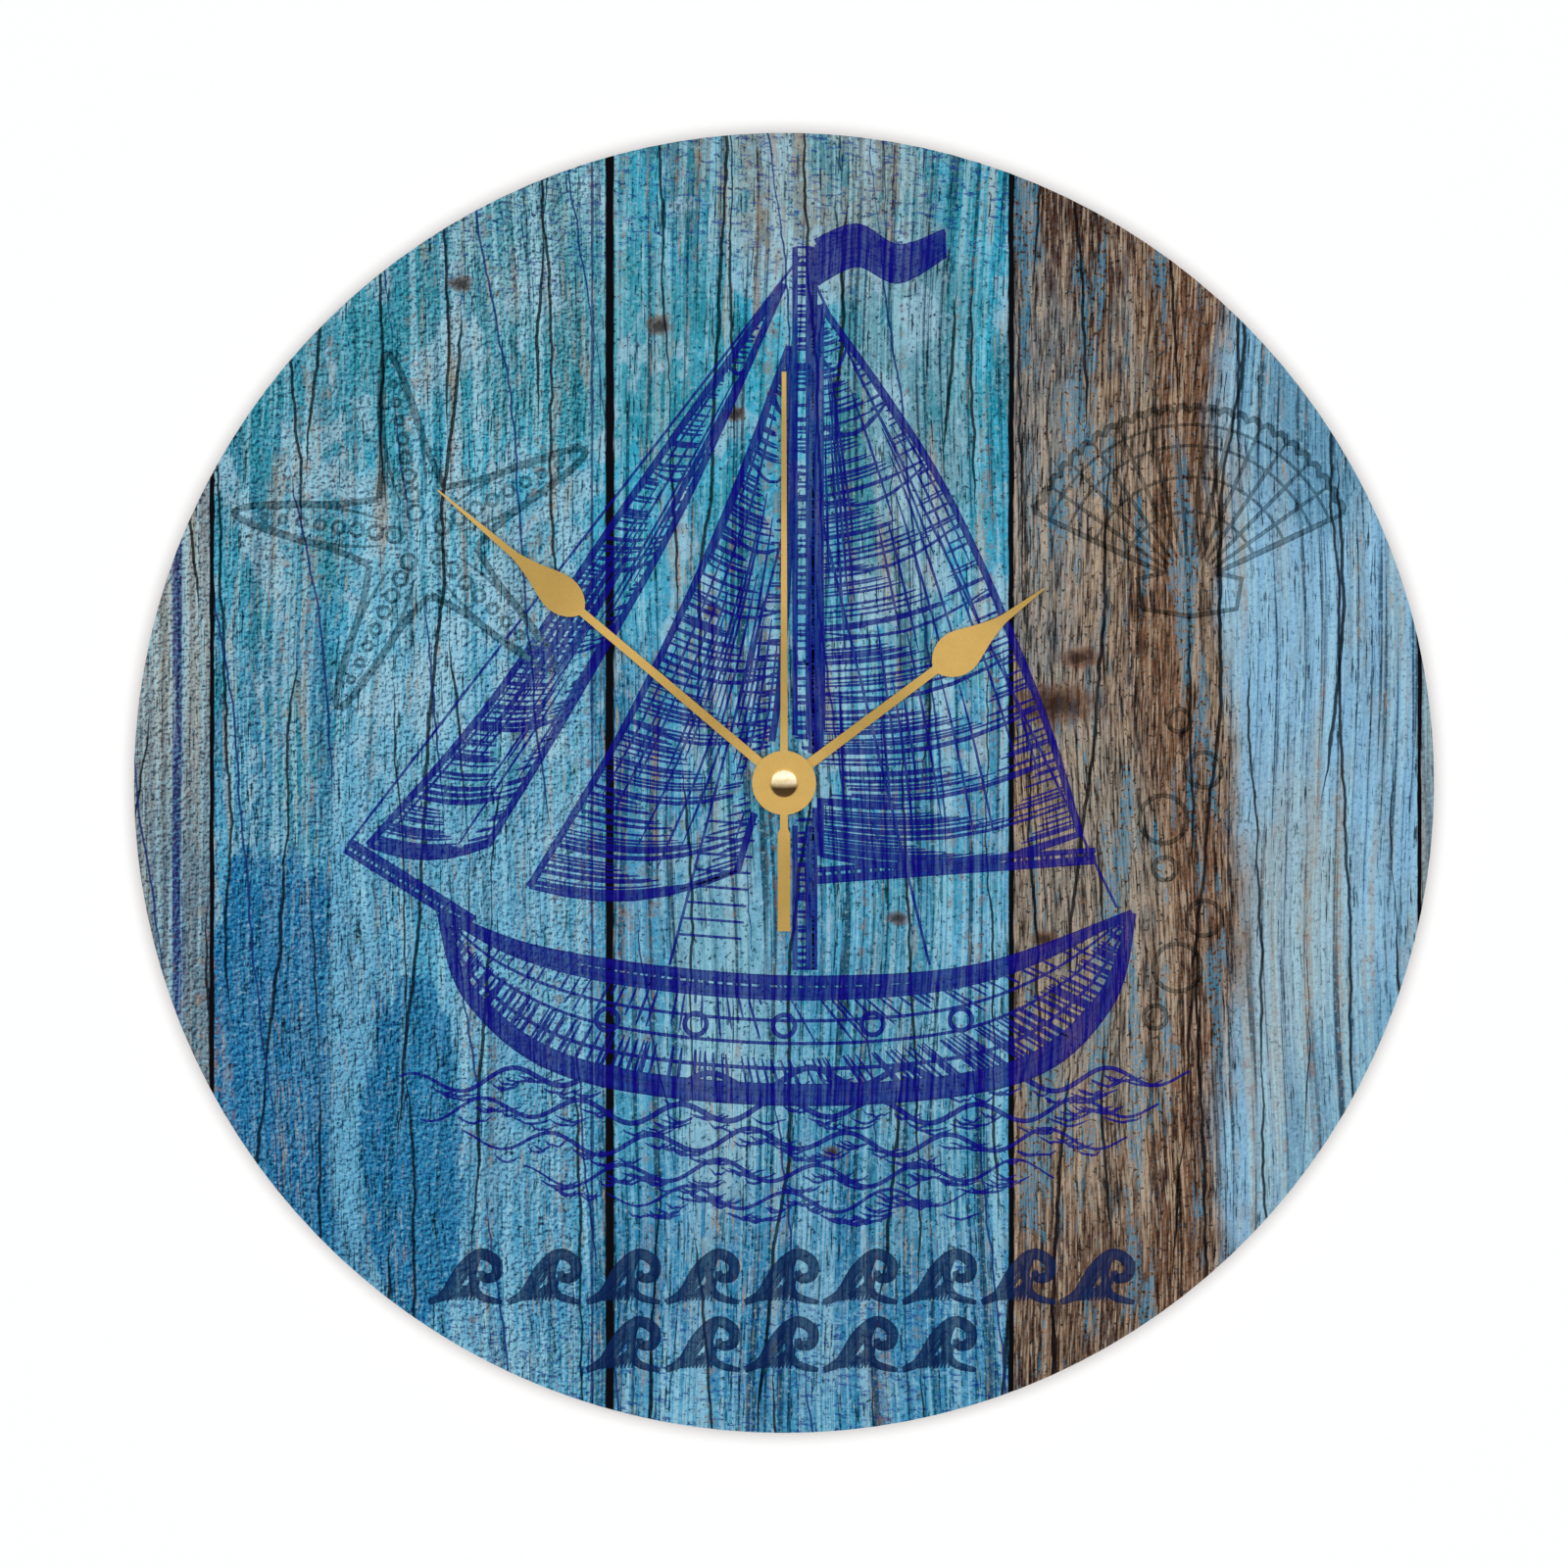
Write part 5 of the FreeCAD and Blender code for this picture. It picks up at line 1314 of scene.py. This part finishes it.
def stage_sheet(name, points):
    """A square of the stage that neither mirrors in the clock nor shades it."""
    mesh = bpy.data.meshes.new(name)
    mesh.from_pydata(points, [], [(0, 1, 2, 3)])
    sheet = linked(name, mesh, stage_material("pale_" + name).name)
    for ray in ("diffuse", "glossy", "transmission", "shadow", "volume_scatter"):
        setattr(sheet, "visible_" + ray, False)


def stage_material(name):
    """Pale and matt, a little self-lit, and clear from behind."""
    nodes = new_material(name)
    nodes.tree.nodes.remove(nodes.tree.nodes["Principled BSDF"])
    matt = nodes.value("ShaderNodeBsdfDiffuse", {"Color": WALL_WHITE})
    glow = nodes.value("ShaderNodeEmission", {"Color": WALL_GLOW, "Strength": 1.0})
    lit = nodes.value("ShaderNodeAddShader", {0: matt, 1: glow})
    clear = nodes.value("ShaderNodeBsdfTransparent")
    behind = nodes.value("ShaderNodeNewGeometry", output="Backfacing")
    both = nodes.value("ShaderNodeMixShader", {0: behind, 1: lit, 2: clear})
    nodes.feed(nodes.tree.nodes["Material Output"].inputs["Surface"], both)
    return nodes.material


def lamp(name, strength, spread, turn):
    data = bpy.data.lights.new(name, "SUN")
    data.energy = strength
    data.angle = spread
    light = bpy.data.objects.new(name, data)
    light.rotation_euler = turn
    light.visible_glossy = False
    bpy.context.scene.collection.objects.link(light)


def room(strength):
    """White to the camera, even light on matt things, and a light ceiling over a dark floor in metal."""
    world = bpy.data.worlds.new("room")
    bpy.context.scene.world = world
    world.use_nodes = True
    nodes = Nodes(world.node_tree)
    path = nodes.values("ShaderNodeLightPath")
    _, _, up = nodes.value("ShaderNodeTexCoord", output="Generated").split()
    bands = nodes.add("ShaderNodeValToRGB", {"Fac": up.ramp(-1.0, 1.0, smooth=False)})
    stops = bands.color_ramp.elements
    while len(stops) < len(ROOM_BANDS):
        stops.new(0.5)
    for stop, (place, colour) in zip(stops, ROOM_BANDS):
        stop.position = place
        stop.color = (*colour, 1.0)
    mirrored = path["Is Glossy Ray"].most(path["Is Transmission Ray"])
    colour = nodes.blend(mirrored, (strength,) * 3, Value(nodes, bands.outputs[0]))
    colour = nodes.blend(path["Is Camera Ray"], colour, WHITE)
    nodes.feed(world.node_tree.nodes["Background"].inputs["Color"], colour)


class WALLCLOCK_PT_pieces(bpy.types.Panel):
    """Lists the clock's pieces"""
    bl_idname = "WALLCLOCK_PT_pieces"
    bl_label = "Wall Clock"
    bl_space_type = "VIEW_3D"
    bl_region_type = "UI"
    bl_category = "Wall Clock"

    def draw(self, context):
        for operator in OPERATORS:
            self.layout.operator(operator.bl_idname)


OPERATORS = (WALLCLOCK_OT_print, WALLCLOCK_OT_drawing, WALLCLOCK_OT_waves, WALLCLOCK_OT_ghosts,
             WALLCLOCK_OT_cap, WALLCLOCK_OT_cell, WALLCLOCK_OT_knob, WALLCLOCK_OT_arrow, WALLCLOCK_OT_stage)
SETTINGS = {"wall_clock_print": ClockPrintSettings, "wall_clock_metal": ClockMetalSettings,
            "wall_clock_sizes": ClockSizeSettings, "wall_clock_stage": ClockStageSettings}


def register():
    for group in SETTINGS.values():
        bpy.utils.register_class(group)
    for name, group in SETTINGS.items():
        setattr(bpy.types.Scene, name, PointerProperty(type=group))
    for kind in (*OPERATORS, WALLCLOCK_PT_pieces):
        bpy.utils.register_class(kind)


def unregister():
    for kind in reversed((*OPERATORS, WALLCLOCK_PT_pieces)):
        bpy.utils.unregister_class(kind)
    for name, group in SETTINGS.items():
        delattr(bpy.types.Scene, name)
        bpy.utils.unregister_class(group)


def main():
    register()
    bpy.ops.wall_clock.finishes()
    bpy.ops.wall_clock.drawing()
    bpy.ops.wall_clock.wave_band()
    bpy.ops.wall_clock.faint_drawings()
    bpy.ops.wall_clock.cap()
    bpy.ops.wall_clock.cell()
    bpy.ops.wall_clock.knob()
    bpy.ops.wall_clock.knob_arrows()
    bpy.ops.wall_clock.stage()


if __name__ == "__main__":
    main()
